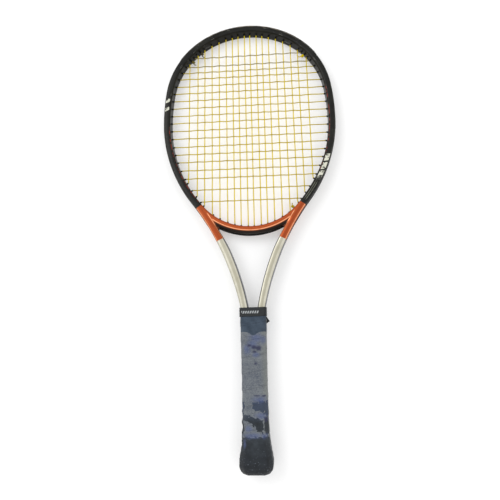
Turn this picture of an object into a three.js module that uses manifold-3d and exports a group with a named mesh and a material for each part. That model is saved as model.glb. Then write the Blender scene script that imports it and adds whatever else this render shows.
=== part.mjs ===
// A strung and gripped tennis racket, in millimetres. X runs across the face, Y from the butt to the head
// and Z out of the face. The origin is the centre of the butt's end face.
import * as THREE from "three";
import { mergeVertices } from "three/addons/utils/BufferGeometryUtils.js";
import Module from "manifold-3d";

const wasm = await Module();
wasm.setup();
const { Manifold } = wasm;
const DEGREE = Math.PI / 180;

// ---- Driving dimensions ----
const LENGTH = 685.8; // over all: the standard 27 inches
const GAP = 0.3; // clearance between two pieces that touch
const GUARD_PROUD = 1.5; // how far the bumper guard stands out of the tube

// The hairpin tube. Its outer outline is tangent arcs from the top of the head down to the handle, where
// both legs run straight: [radius, degrees, +1 as the head bends or -1 where the shafts bend back].
const OUTLINE_ARCS = [
  [139.4, 24.9, 1],
  [134.7, 57.2, 1],
  [364.1, 9.3, 1],
  [224.9, 36.4, 1],
  [372.8, 37.8, -1],
];
const HOOP_HALF = 5.5; // half the tube's width in the plane of the face
const BEAM_HALF = 11.5; // half the tube's depth, along Z
const SHAFT_INNER = 7.3; // the shafts are wider, on their inner side
const TUBE_WALL = 1.6;
const GROOVE_WALL = 1.4; // under the string groove
const BRIDGE_WALL = 2.1; // at the bridge's front and back
const TUBE_END_Y = 8;
const EDGE_CUT = [1.5, 3]; // chamfer of the tube's four edges, across and along Z
const FACET = 14; // length of one facet of the tube along the hoop, and twice that on the shafts

// The string groove round the tube, and the grommet strips that lie in it. Depths are below the outer face.
const GROOVE = { depth: 2.8, floorHalf: 3.2, lipHalf: 4.2 };
const STRIP = { floor: 2.5, top: 1.8, half: 2.8 };
const LOOP_DEPTH = 0.75; // the strings' centre line, where they run along the groove
const LOOP_SHIFT = 1.4; // main loops lie on the front side of the groove, cross loops on the back
const HOLE_HALF = 1.75; // half the side of a square string hole
const BARREL_HALF = 1.4;
const BORE_HALF = 0.9;
const BARREL_PROUD = 2.5; // how far a barrel stands out inside the head
const HOLE_TILT = { hoop: 12, bridge: 31 }; // most degrees between a hole and the square way through

const GUARD_REACH = 137; // along the tube, each way from the top
const STRIP_END = 428; // where the side strips end, along the tube from the top
const GROOVE_END = 434;
const GROOVE_FADE = 14;
const GUARD = { channelHalf: 2.4, shoulderHalf: 3.85, brimHalf: 8.2, edgeHalf: 7.6 };

// The throat bridge is an arc that closes the head, with its centre on the racket's axis. On the handle's
// side its faces slope back from the groove's lip: shoulder and crest are [depth below that side, Z].
const BRIDGE = { centreY: 433.3, radius: 102.3, half: 6, depthHalf: 11.3, reach: 36.5, lipRise: 0.4 };
const BRIDGE_SLOPE = { shoulder: [1.6, 8], crest: 5.3, headCut: [1.2, 1.3] };
const THROAT_STRIP_REACH = 29.5; // degrees each way

// The string bed: main strings at +-X and cross strings at Y.
const MAIN_OFFSETS = [4.6, 15.5, 25.4, 36.3, 48.3, 60.4, 72.6, 84.3, 98.3];
const CROSS_HEIGHTS = [
  632.7, 616.4, 605.7, 594.1, 580.7, 567.7, 554.4, 541, 527.5, 514.5, 500.8, 487, 472.7, 459.4, 446.3,
  432.1, 418.4, 399.3, 379.9,
];
const BRIDGE_MAIN_LIMIT = 50; // mains nearer the axis than this end on the bridge
const STRING_SIDE = 1.25; // a square section of the same area as a 1.41 mm string
const WEAVE = 0.75; // how far a string rises or dips where it crosses another
const BEND_BEFORE_BARREL = 0.6; // a string bends this far short of its barrel
const CROSSING_ROOM = 3; // a crossing stays this far from the strings' ends
const KNOT = { half: 1.5, from: 1, to: 3.4, neck: 0.5 }; // past the string's end, and the neck at each side
const LOOP_EASE = 3; // a loop rises from its hole to the groove over this length
// Tie-off holes, along the tube from the top, negative to the left.
const MAIN_TIE_OFFS = [-114, 114];
const CROSS_TIE_OFFS = [-91, 408];

// The handle. Each row is [Y, half width, half depth, corner cut] of the finished grip, an octagon.
const GRIP_ROWS = [
  [1.2, 18.6, 16, 6],
  [6.4, 22.7, 20.2, 7.5],
  [13.7, 23.3, 20.9, 7.8],
  [21, 22.4, 20, 7.5],
  [28.4, 20.9, 18.6, 7.2],
  [36, 19.6, 17.4, 6.8],
  [46, 19, 16.9, 6.6],
  [65, 18.3, 16.3, 6.4],
  [104, 18.05, 16, 6.4],
  [144, 18.3, 16.1, 6.4],
  [176, 18.7, 16.3, 6.4],
  [190, 18.9, 15.2, 5.2],
  [207, 19.2, 12.9, 2.2],
];
const OVERGRIP = 0.8;
const BASE_GRIP = 1.6;
const BASE_INSET = OVERGRIP + GAP; // from the finished grip's surface to the base grip's
const CORE_INSET = BASE_INSET + BASE_GRIP + GAP; // and to the pallets' and the butt cap's
const LEG_ROWS = { slimY: 185, fullY: 215, depthHalf: 8.5 }; // the tube's legs are slimmer in the handle
const CAP = { lipHalf: [16.6, 14], rimHalf: [17.3, 14.8], rimY: 1, baseY: 3.5, top: 30, cut: 5.5 };
const TENON = { halfX: 14.9, halfZ: 12.9, cut: 3.8, y: 6 }; // the pallets' end inside the butt cap
const PALLET_TOP = 176;
const BASE_GRIP_TOP = 184;
const COLLAR = { top: 196, thick: 1 };
const TAPE = { low: 203.5, high: 217, thick: 0.4, halfX: 20.5, halfZ: 12.1, cut: 2 };
const PLATE = { halfX: 10.5, halfZ: 8.5, cut: 3, thick: 1.6 };
const STAPLE = { width: 9, wire: 1, capY: 20, capLeg: 6.5, gripY: 12, gripLeg: 5 };

// ---- Closed meshes and solids ----

// A closed geometry from points and triangles, turned so that its faces point out.
function closedGeometry(points, triangles) {
  let volume = 0;
  for (const [a, b, c] of triangles) {
    const [p, q, r] = [a, b, c].map((i) => new THREE.Vector3(...points[i]));
    volume += p.dot(q.cross(r));
  }
  const order = volume < 0 ? [0, 2, 1] : [0, 1, 2];
  const geometry = new THREE.BufferGeometry();
  geometry.setAttribute("position", new THREE.Float32BufferAttribute(points.flat(), 3));
  geometry.setIndex(triangles.flatMap((t) => order.map((k) => t[k])));
  return geometry;
}

function toSolid(geometry) {
  const bare = new THREE.BufferGeometry();
  bare.setAttribute("position", geometry.getAttribute("position"));
  if (geometry.index) bare.setIndex(geometry.index);
  const merged = mergeVertices(bare, 1e-4);
  return new wasm.Manifold(
    new wasm.Mesh({
      numProp: 3,
      vertProperties: new Float32Array(merged.attributes.position.array),
      triVerts: new Uint32Array(merged.index.array),
    }),
  );
}

function toGeometry(solid) {
  const mesh = solid.getMesh();
  const geometry = new THREE.BufferGeometry();
  geometry.setAttribute("position", new THREE.BufferAttribute(mesh.vertProperties, 3));
  geometry.setIndex(new THREE.BufferAttribute(mesh.triVerts, 1));
  return geometry;
}

// Joins rings of equal length into a skin. A second set of rings makes it hollow and open at both ends.
function loft(rings, hollowRings) {
  const sets = hollowRings ? [rings, hollowRings] : [rings];
  const points = [];
  const triangles = [];
  const starts = [];
  for (const set of sets) {
    const start = points.length;
    const count = set[0].length;
    starts.push(start);
    points.push(...set.flat());
    const turned = set === hollowRings;
    for (let k = 0; k + 1 < set.length; k++)
      for (let i = 0; i < count; i++) {
        const j = (i + 1) % count;
        const [a, b] = [start + k * count + i, start + k * count + j];
        const [c, d] = [b + count, a + count];
        triangles.push(...(turned ? [[a, c, b], [a, d, c]] : [[a, b, c], [a, c, d]]));
      }
  }
  for (const last of [false, true]) {
    const pick = (set) => set[last ? set.length - 1 : 0];
    const ids = sets.flatMap((set, n) =>
      pick(set).map((_, i) => starts[n] + (last ? (set.length - 1) * set[0].length : 0) + i),
    );
    for (const [a, b, c] of capTriangles(flatten(sets.map(pick))))
      triangles.push(last ? [ids[a], ids[b], ids[c]] : [ids[a], ids[c], ids[b]]);
  }
  return closedGeometry(points, triangles);
}

// The triangles of an end face, which turn the same way as its outer ring.
function capTriangles([outer, ...holes]) {
  const all = [outer, ...holes].flat();
  const side = Math.sign(THREE.ShapeUtils.area(outer));
  return THREE.ShapeUtils.triangulateShape([...outer], holes.map((h) => [...h])).map(([a, b, c]) =>
    Math.sign(THREE.ShapeUtils.area([all[a], all[b], all[c]])) === side ? [a, b, c] : [a, c, b],
  );
}

// Rings that lie in one upright plane, as 2-D points: across, measured along that plane, and Z.
function flatten(rings) {
  const [ox, oy] = rings[0][0];
  const away = (p) => Math.hypot(p[0] - ox, p[1] - oy);
  const far = rings[0].reduce((best, p) => (away(p) > away(best) ? p : best));
  const [dx, dy] = [(far[0] - ox) / away(far), (far[1] - oy) / away(far)];
  return rings.map((ring) =>
    ring.map(([x, y, z]) => new THREE.Vector2((x - ox) * dx + (y - oy) * dy, z)),
  );
}

// A closed outline from its front half: the back half is the same, turned over.
const mirrored = (half) => [...half, ...half.map(([across, z]) => [across, -z]).reverse()];

// ---- Rails: the lines that the tube and the bridge follow ----

// The tube's centre line at a distance along it from the top, negative to the left, with its outward normal.
function spine(distance) {
  let left = Math.abs(distance);
  let [x, y, heading] = [0, LENGTH - GUARD_PROUD - HOOP_HALF, 0];
  for (const [outer, degrees, bend] of OUTLINE_ARCS) {
    const radius = outer - bend * HOOP_HALF;
    const turn = Math.min(left / radius, degrees * DEGREE);
    const chord = 2 * radius * Math.sin(turn / 2);
    x += chord * Math.cos(heading + (bend * turn) / 2);
    y -= chord * Math.sin(heading + (bend * turn) / 2);
    heading += bend * turn;
    left -= radius * turn;
  }
  x += left * Math.cos(heading);
  y -= left * Math.sin(heading);
  const side = distance < 0 ? -1 : 1;
  return { x: side * x, y, nx: side * Math.sin(heading), ny: Math.cos(heading) };
}

// The bridge's middle line, at a distance along it from the racket's axis. Its normal points to the handle.
function bridgeLine(distance) {
  const angle = distance / BRIDGE.radius;
  const [nx, ny] = [Math.sin(angle), -Math.cos(angle)];
  return { x: BRIDGE.radius * nx, y: BRIDGE.centreY + BRIDGE.radius * ny, nx, ny };
}

const HOOP_RAIL = { at: spine, half: HOOP_HALF, mostTilt: HOLE_TILT.hoop * DEGREE };
const BRIDGE_RAIL = { at: bridgeLine, half: BRIDGE.half, mostTilt: HOLE_TILT.bridge * DEGREE };

function besideRail(rail, distance, across) {
  const { x, y, nx, ny } = rail.at(distance);
  return [x + nx * across, y + ny * across];
}

function solve(f, low, high) {
  for (let i = 0; i < 50; i++) {
    const middle = (low + high) / 2;
    if (f(low) * f(middle) <= 0) high = middle;
    else low = middle;
  }
  return (low + high) / 2;
}

// ---- The tube, the bridge and what lies in their groove ----

const mix = (a, b, share) => a + (b - a) * Math.min(1, Math.max(0, share));
const TUBE_END = solve((s) => spine(s).y - TUBE_END_Y, GROOVE_END, 2 * LENGTH);
const WIDEST = solve((s) => spine(s).ny, FACET, GROOVE_END); // where the head is widest
const SHAFT_START = GROOVE_END + GROOVE_FADE;

// Distances along the tube from low to high, on the facets' own corners between them.
function stations(low, high) {
  const list = [low];
  const corners = Math.round(SHAFT_START / FACET);
  for (let k = -corners; k <= corners; k++)
    if (k * FACET > low + 1 && k * FACET < high - 1) list.push(k * FACET);
  return [...list, high];
}

function tubeStations() {
  const shaft = [];
  for (let s = SHAFT_START + 2 * FACET; s < TUBE_END - FACET; s += 2 * FACET) shaft.push(s);
  const right = [...shaft, TUBE_END];
  return [...right.map((s) => -s).reverse(), ...stations(-SHAFT_START, SHAFT_START), ...right];
}

// The tube's half depth, its reach to the inner side and its groove's depth, at a distance along it.
function tubeSize(distance) {
  const { y } = spine(distance);
  const s = Math.abs(distance);
  const { slimY, fullY, depthHalf } = LEG_ROWS;
  const widening = mix(0, SHAFT_INNER - HOOP_HALF, (s - GROOVE_END) / (3 * FACET));
  const narrowing = mix(1, 0, (fullY - y) / (fullY - slimY));
  return {
    depth: mix(depthHalf, BEAM_HALF, (y - slimY) / (fullY - slimY)),
    inner: HOOP_HALF + widening * narrowing,
    groove: GROOVE.depth * mix(1, 0, (s - GROOVE_END) / GROOVE_FADE),
  };
}

// The tube's outline at one station, as [across, Z] pairs. grow makes an envelope round it with no groove.
function tubeOutline(distance, grow = 0) {
  const size = tubeSize(distance);
  const [outer, inner, depth] = [HOOP_HALF + grow, size.inner + grow, size.depth + grow];
  const [cut, fall] = EDGE_CUT;
  const floor = outer - (grow ? 0 : size.groove);
  const half = [
    [floor, GROOVE.floorHalf],
    [outer, GROOVE.lipHalf],
    [outer, depth - fall],
    [outer - cut, depth],
    [cut - inner, depth],
    [-inner, depth - fall],
  ];
  return mirrored(half);
}

function tubeHollow(distance) {
  const size = tubeSize(distance);
  const depth = size.depth - TUBE_WALL;
  const wall = size.groove ? GROOVE_WALL : TUBE_WALL;
  return mirrored([
    [HOOP_HALF - wall - size.groove, depth],
    [TUBE_WALL - size.inner, depth],
  ]);
}

// Carries an outline along a rail. outlineAt gives the outline at each distance.
function carry(rail, distances, outlineAt) {
  return distances.map((s) =>
    outlineAt(s).map(([across, z]) => [...besideRail(rail, s, across), z]),
  );
}

function bridgeOutline() {
  const { half, depthHalf, lipRise } = BRIDGE;
  const { shoulder, crest, headCut } = BRIDGE_SLOPE;
  return mirrored([
    [half - GROOVE.depth, GROOVE.floorHalf],
    [half, GROOVE.lipHalf],
    [half, GROOVE.lipHalf + lipRise],
    [half - shoulder[0], shoulder[1]],
    [half - crest, depthHalf],
    [headCut[0] - half, depthHalf],
    [-half, depthHalf - headCut[1]],
  ]);
}

function bridgeHollow() {
  const { half, depthHalf } = BRIDGE;
  const depth = depthHalf - BRIDGE_WALL;
  return mirrored([
    [half - GROOVE.depth - GROOVE_WALL, depth],
    [TUBE_WALL - half, depth],
  ]);
}

function bridgeDistances(reachDegrees, parts) {
  const reach = BRIDGE.radius * reachDegrees * DEGREE;
  return Array.from({ length: parts + 1 }, (_, k) => reach * ((2 * k) / parts - 1));
}

// The strip's flat base in the groove.
function stripOutline(rail) {
  const [low, high] = [rail.half - STRIP.floor, rail.half - STRIP.top];
  return [[low, -STRIP.half], [low, STRIP.half], [high, STRIP.half], [high, -STRIP.half]];
}

// The guard: a base in the groove, with a channel for the strings between two brims over the tube's face.
function guardOutline() {
  const [floor, base] = [HOOP_HALF - STRIP.floor, HOOP_HALF - STRIP.top];
  const [seat, crown] = [HOOP_HALF + GAP, HOOP_HALF + GUARD_PROUD];
  return mirrored([
    [base, GUARD.channelHalf],
    [crown, GUARD.channelHalf],
    [crown, GUARD.edgeHalf],
    [seat, GUARD.brimHalf],
    [seat, GUARD.shoulderHalf],
    [floor, STRIP.half],
  ]);
}

// What must stay free above the strips' base, for the strings.
function channelOutline(rail) {
  const low = rail.half - STRIP.top;
  const high = low + 2 * HOOP_HALF; // well clear of everything
  return mirrored([
    [low, GUARD.channelHalf],
    [high, GUARD.channelHalf],
  ]);
}

// ---- String holes ----

// A hole on a rail for a string that leaves the head at a mouth point in direction way, or square to the
// tube where way is missing. It tilts from the square way through the tube toward the string.
function stringHole(rail, distance, way) {
  const { nx, ny } = rail.at(distance);
  const bend = besideRail(rail, distance, -(rail.half + BARREL_PROUD + BEND_BEFORE_BARREL));
  const square = Math.atan2(ny, nx);
  let tilt = way ? Math.atan2(way[1], way[0]) - square : 0;
  tilt = Math.atan2(Math.sin(tilt), Math.cos(tilt));
  const turned = square + Math.min(rail.mostTilt, Math.max(-rail.mostTilt, tilt));
  const direction = [Math.cos(turned), Math.sin(turned)];
  const depthAlong = (across) =>
    (across + rail.half + BARREL_PROUD + BEND_BEFORE_BARREL) / Math.cos(turned - square);
  const along = (length) => [bend[0] + direction[0] * length, bend[1] + direction[1] * length];
  const exit = along(depthAlong(rail.half - LOOP_DEPTH));
  return { rail, distance, bend, direction, depthAlong, along, exit, exitAt: distanceOf(rail, exit, distance) };
}

// The distance along a rail of the point nearest to p, close to a first guess.
function distanceOf(rail, [px, py], guess) {
  const along = (s) => {
    const { x, y, nx, ny } = rail.at(s);
    return (px - x) * ny - (py - y) * nx;
  };
  return solve((s) => along(s), guess - FACET, guess + FACET);
}

const bendLine = -(HOOP_HALF + BARREL_PROUD + BEND_BEFORE_BARREL);
const bendX = (s) => besideRail(HOOP_RAIL, s, bendLine)[0];
const bendY = (s) => besideRail(HOOP_RAIL, s, bendLine)[1];

function mainTop(x) {
  const s = solve((t) => bendX(t) - Math.abs(x), 0, WIDEST);
  return stringHole(HOOP_RAIL, Math.sign(x) * s, [0, 1]);
}

function mainBottom(x) {
  if (Math.abs(x) < BRIDGE_MAIN_LIMIT) {
    const radius = BRIDGE.radius - BRIDGE.half - BARREL_PROUD - BEND_BEFORE_BARREL;
    return stringHole(BRIDGE_RAIL, BRIDGE.radius * Math.asin(x / radius), [0, -1]);
  }
  const s = solve((t) => bendX(t) - Math.abs(x), WIDEST, GROOVE_END);
  return stringHole(HOOP_RAIL, Math.sign(x) * s, [0, -1]);
}

function crossEnd(y, side) {
  const s = solve((t) => bendY(t) - y, FACET / 2, GROOVE_END);
  return stringHole(HOOP_RAIL, side * s, [side, 0]);
}

const MAINS = [...MAIN_OFFSETS.map((x) => -x).reverse(), ...MAIN_OFFSETS].map((x) => ({
  x,
  top: mainTop(x),
  bottom: mainBottom(x),
}));
const CROSSES = CROSS_HEIGHTS.map((y) => ({ y, left: crossEnd(y, -1), right: crossEnd(y, 1) }));
const mainTies = MAIN_TIE_OFFS.map((s) => stringHole(HOOP_RAIL, s));
const crossTies = CROSS_TIE_OFFS.map((s) => stringHole(HOOP_RAIL, s));
const HOLES = [
  ...MAINS.flatMap((m) => [m.top, m.bottom]),
  ...CROSSES.flatMap((c) => [c.left, c.right]),
  ...mainTies,
  ...crossTies,
];

// A square bar along a hole, between two depths measured across the rail.
function bar(hole, half, from, to) {
  const [start, end] = [hole.depthAlong(from), hole.depthAlong(to)];
  const [x, y] = hole.along((start + end) / 2);
  const geometry = new THREE.BoxGeometry(2 * half, end - start, 2 * half);
  geometry.rotateZ(Math.atan2(hole.direction[1], hole.direction[0]) - Math.PI / 2);
  geometry.translate(x, y, 0);
  return toSolid(geometry);
}

const mouthDepth = (rail) => -(rail.half + BARREL_PROUD);

function drill(solid, rail) {
  const cutters = HOLES.filter((h) => h.rail === rail).map((h) =>
    bar(h, HOLE_HALF, mouthDepth(rail), rail.half + 1),
  );
  return solid.subtract(Manifold.union(cutters));
}

// A strip's base with its barrels, bored for the strings.
function withBarrels(base, rail, distances) {
  const [low, high] = [distances[0], distances[distances.length - 1]];
  const holes = HOLES.filter((h) => h.rail === rail && h.exitAt > low && h.exitAt < high);
  const barrels = holes.map((h) => bar(h, BARREL_HALF, mouthDepth(rail), rail.half - STRIP.top));
  const bores = holes.map((h) => bar(h, BORE_HALF, mouthDepth(rail) - 1, rail.half + 1));
  const channel = toSolid(loft(carry(rail, distances, () => channelOutline(rail))));
  return Manifold.union([base, ...barrels]).subtract(channel).subtract(Manifold.union(bores));
}

function sideStrip(side) {
  const from = GUARD_REACH + 1.5;
  const distances = side > 0 ? stations(from, STRIP_END) : stations(-STRIP_END, -from);
  const base = loft(carry(HOOP_RAIL, distances, () => stripOutline(HOOP_RAIL)));
  return withBarrels(toSolid(base), HOOP_RAIL, distances);
}

function throatStrip() {
  const distances = bridgeDistances(THROAT_STRIP_REACH, 12);
  const base = loft(carry(BRIDGE_RAIL, distances, () => stripOutline(BRIDGE_RAIL)));
  return withBarrels(toSolid(base), BRIDGE_RAIL, distances);
}

function bumperGuard() {
  const distances = stations(-GUARD_REACH, GUARD_REACH);
  const base = loft(carry(HOOP_RAIL, distances, guardOutline));
  return withBarrels(toSolid(base), HOOP_RAIL, distances);
}

function frameTube() {
  const distances = tubeStations();
  const skin = loft(
    carry(HOOP_RAIL, distances, (s) => tubeOutline(s)),
    carry(HOOP_RAIL, distances, tubeHollow),
  );
  return drill(toSolid(skin), HOOP_RAIL);
}

function tubeEnvelope(low, high) {
  return toSolid(loft(carry(HOOP_RAIL, stations(low, high), (s) => tubeOutline(s, GAP))));
}

function throatBridge() {
  const distances = bridgeDistances(BRIDGE.reach, 14);
  const skin = loft(
    carry(BRIDGE_RAIL, distances, bridgeOutline),
    carry(BRIDGE_RAIL, distances, bridgeHollow),
  );
  return drill(toSolid(skin), BRIDGE_RAIL)
    .subtract(tubeEnvelope(STRIP_END - 5 * FACET, SHAFT_START))
    .subtract(tubeEnvelope(-SHAFT_START, FACET * 5 - STRIP_END));
}

// ---- The strings ----

const weaveSide = (i, j) => ((i + j) % 2 ? -1 : 1);
// One main string from its top hole's bend to its bottom one.
function mainRun(main, i) {
  const inside = CROSSES.map((cross, j) => [main.x, cross.y, weaveSide(i, j) * WEAVE]).filter(
    ([x, y], j) =>
      y < main.top.bend[1] - CROSSING_ROOM &&
      y > main.bottom.bend[1] + CROSSING_ROOM &&
      Math.abs(x) < CROSSES[j].right.bend[0] - CROSSING_ROOM,
  );
  return [[...main.top.bend, 0], ...inside, [...main.bottom.bend, 0]];
}

// One cross string from its left hole's bend to its right one.
function crossRun(cross, j) {
  const inside = MAINS.map((main, i) => [main.x, cross.y, -weaveSide(i, j) * WEAVE]).filter(
    ([x, y], i) =>
      Math.abs(x) < cross.right.bend[0] - CROSSING_ROOM &&
      y < MAINS[i].top.bend[1] - CROSSING_ROOM &&
      y > MAINS[i].bottom.bend[1] + CROSSING_ROOM,
  );
  return [[...cross.left.bend, 0], ...inside, [...cross.right.bend, 0]];
}

// The loop along the groove from one hole to another on the same rail.
function loopBetween(from, to, z) {
  const { rail } = from;
  const across = rail.half - LOOP_DEPTH;
  const way = Math.sign(to.exitAt - from.exitAt);
  const length = Math.abs(to.exitAt - from.exitAt);
  const ease = Math.min(LOOP_EASE, length / 3);
  const parts = Math.max(1, Math.ceil((length - 2 * ease) / FACET));
  const inner = Array.from({ length: parts + 1 }, (_, k) => {
    const s = from.exitAt + way * (ease + ((length - 2 * ease) * k) / parts);
    return [...besideRail(rail, s, across), z];
  });
  return [[...from.exit, 0], ...inner, [...to.exit, 0]];
}

// Runs joined by loops, from one tie-off to the other. Each run is { points, start, end }.
function stringPath(runs, ties, z) {
  const first = loopBetween(ties[0], runs[0].start, z);
  const path = [[...ties[0].bend, 0], ...first];
  runs.forEach((run, k) => {
    path.push(...run.points);
    const next = k + 1 < runs.length ? runs[k + 1].start : ties[1];
    path.push(...loopBetween(run.end, next, z));
  });
  return [...path, [...ties[1].bend, 0]];
}

// A square string along a path, mitred at its bends, with a knot past each end.
function string(path, ties) {
  const tangent = (k) => {
    const [a, b] = [path[k], path[k + 1]];
    const length = Math.hypot(b[0] - a[0], b[1] - a[1]);
    return [(b[0] - a[0]) / length, (b[1] - a[1]) / length];
  };
  const half = STRING_SIDE / 2;
  const ring = ([x, y, z], [sx, sy], h, tall) => [
    [x - sx * h, y - sy * h, z - tall],
    [x + sx * h, y + sy * h, z - tall],
    [x + sx * h, y + sy * h, z + tall],
    [x - sx * h, y - sy * h, z + tall],
  ];
  const rings = path.map((p, k) => {
    const before = tangent(Math.max(0, k - 1));
    const after = tangent(Math.min(path.length - 2, k));
    const side = [-(before[1] + after[1]), before[0] + after[0]];
    const size = Math.hypot(...side) || 1;
    const unit = side.map((v) => v / size);
    const stretch = Math.min(1.5, 1 / Math.max(0.1, unit[0] * -after[1] + unit[1] * after[0]));
    return ring(p, unit, half * stretch, half);
  });
  const { from, to, neck } = KNOT;
  const profile = [[from - neck, half], [from, KNOT.half], [to, KNOT.half], [to + neck, half]];
  const knot = (tie, sign) =>
    profile.map(([past, h]) => {
      const [dx, dy] = tie.direction;
      return ring([...tie.along(-past), 0], [-sign * dy, sign * dx], h, h);
    });
  return toSolid(loft([...knot(ties[0], 1).reverse(), ...rings, ...knot(ties[1], -1)]));
}

function mainString() {
  const runs = MAINS.map((main, i) => {
    const down = mainRun(main, i);
    return i % 2
      ? { points: down.reverse(), start: main.bottom, end: main.top }
      : { points: down, start: main.top, end: main.bottom };
  });
  return string(stringPath(runs, mainTies, LOOP_SHIFT), mainTies);
}

function crossString() {
  const runs = CROSSES.map((cross, j) => {
    const across = crossRun(cross, j);
    return j % 2
      ? { points: across.reverse(), start: cross.right, end: cross.left }
      : { points: across, start: cross.left, end: cross.right };
  });
  return string(stringPath(runs, crossTies, -LOOP_SHIFT), crossTies);
}

// ---- The handle ----

function gripAt(y) {
  const next = Math.max(1, GRIP_ROWS.findIndex((row) => row[0] >= y));
  const [a, b] = [GRIP_ROWS[next - 1], GRIP_ROWS[next]];
  return [1, 2, 3].map((k) => mix(a[k], b[k], (y - a[0]) / (b[0] - a[0])));
}

function octagon(y, halfX, halfZ, cut) {
  const [x, z] = [halfX - cut, halfZ - cut];
  return [
    [halfX, y, -z], [halfX, y, z], [x, y, halfZ], [-x, y, halfZ],
    [-halfX, y, z], [-halfX, y, -z], [-x, y, -halfZ], [x, y, -halfZ],
  ];
}

const CUT_PER_INSET = 2 - Math.SQRT2; // how fast an octagon's corner cut shrinks as it is inset

function gripRing(y, inset) {
  const [halfX, halfZ, cut] = gripAt(y);
  return octagon(y, halfX - inset, halfZ - inset, cut - inset * CUT_PER_INSET);
}

function gripRings(low, high, inset) {
  const between = GRIP_ROWS.map((row) => row[0]).filter((y) => y > low + 0.5 && y < high - 0.5);
  return [low, ...between, high].map((y) => gripRing(y, inset));
}

const sleeve = (low, high, outer, inner) =>
  toSolid(loft(gripRings(low, high, outer), gripRings(low, high, inner)));

function box(width, length, depth, x, y, z) {
  const geometry = new THREE.BoxGeometry(width, length, depth);
  geometry.translate(x, y, z);
  return toSolid(geometry);
}

// A staple driven inward from the outside of the handle: its crown at height top above the axis, at Y, with
// legs of a given length. turn is the angle about Y from the front face.
function staple(y, top, leg, turn, grow = 0) {
  const { width, wire } = STAPLE;
  const w = wire + 2 * grow;
  const legX = (width - wire) / 2;
  const pieces = [
    box(width + 2 * grow, w, w, 0, y, top - wire / 2),
    box(w, w, leg + 2 * grow, legX, y, top - leg / 2),
    box(w, w, leg + 2 * grow, -legX, y, top - leg / 2),
  ];
  return Manifold.union(pieces).rotate([0, turn, 0]);
}

const { capY, capLeg, gripY, gripLeg } = STAPLE;
const capStapleTop = gripAt(capY)[1] - CORE_INSET - GAP;
const gripStapleTop = gripAt(gripY)[0] - BASE_INSET - GAP;
const frontStaple = (grow) => staple(capY, capStapleTop, capLeg, 0, grow);
const backStaple = (grow) => staple(capY, capStapleTop, capLeg, 180, grow);
const gripStaple = (grow) => staple(gripY, gripStapleTop, gripLeg, 90, grow);

// The room that the tube's two legs take in the handle.
function legs() {
  const low = GROOVE_END + 3 * FACET;
  const rings = tubeStations().filter((s) => s >= low);
  return Manifold.union(
    [1, -1].map((side) =>
      toSolid(loft(carry(HOOP_RAIL, rings.map((s) => side * s), (s) => tubeOutline(s, GAP)))),
    ),
  );
}

function pallet(side) {
  const { halfX, halfZ, cut, y } = TENON;
  const rings = [
    octagon(y, halfX, halfZ, cut),
    octagon(CAP.top, halfX, halfZ, cut),
    ...gripRings(CAP.top + GAP, PALLET_TOP, CORE_INSET),
  ];
  const room = PALLET_TOP; // larger than a pallet each way
  const frontOnly = box(room, 4 * room, room, 0, room, side * (room / 2 + GAP / 2));
  return toSolid(loft(rings))
    .intersect(frontOnly)
    .subtract(legs())
    .subtract(side > 0 ? frontStaple(GAP) : backStaple(GAP));
}

function buttCap() {
  const { lipHalf, rimHalf, rimY, baseY, top, cut } = CAP;
  const skin = [
    octagon(0, ...lipHalf, cut),
    octagon(rimY, ...rimHalf, cut),
    octagon(baseY - 0.7, ...rimHalf, cut),
    ...gripRings(baseY, top, CORE_INSET),
  ];
  const socket = [TENON.y - GAP, top + 1].map((y) =>
    octagon(y, TENON.halfX + GAP, TENON.halfZ + GAP, TENON.cut),
  );
  const recess = [-1, PLATE.thick + GAP].map((y) =>
    octagon(y, PLATE.halfX + GAP, PLATE.halfZ + GAP, PLATE.cut),
  );
  return toSolid(loft(skin))
    .subtract(toSolid(loft(socket)))
    .subtract(toSolid(loft(recess)))
    .subtract(frontStaple(GAP))
    .subtract(backStaple(GAP))
    .subtract(gripStaple(GAP));
}

const buttPlate = () =>
  toSolid(loft([0, PLATE.thick].map((y) => octagon(y, PLATE.halfX, PLATE.halfZ, PLATE.cut))));

function finishingTape() {
  const { low, high, thick, halfX, halfZ, cut } = TAPE;
  const edge = GRIP_ROWS[GRIP_ROWS.length - 1][0];
  const rings = (grow) => [
    gripRing(low, -GAP - grow),
    gripRing(edge, -GAP - grow),
    octagon(high, halfX + grow, halfZ + grow, cut),
  ];
  return toSolid(loft(rings(thick), rings(0)));
}

// ---- The model ----

const finish = (color, roughness, metalness = 0) => ({ color, roughness, metalness });
const PAINT = finish(0x26241f, 0.32, 0.2);
const COPPER = finish(0xa5562e, 0.3, 0.6);
const MOULDED = finish(0x1b1b1a, 0.6);
const MAIN_YELLOW = finish(0xe0c23a, 0.35);
const CROSS_OCHRE = finish(0xb8932e, 0.4);
const FOAM = finish(0xcfc4a4, 0.9);
const CAP_BLACK = finish(0x202226, 0.5);
const STEEL = finish(0xb9bcc0, 0.3, 1);
const LEATHER = finish(0x2b2b2e, 0.8);
const CLOTH_BLUE = finish(0x5f6a7c, 0.9);
const TAPE_BLACK = finish(0x1e2026, 0.7);

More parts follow.
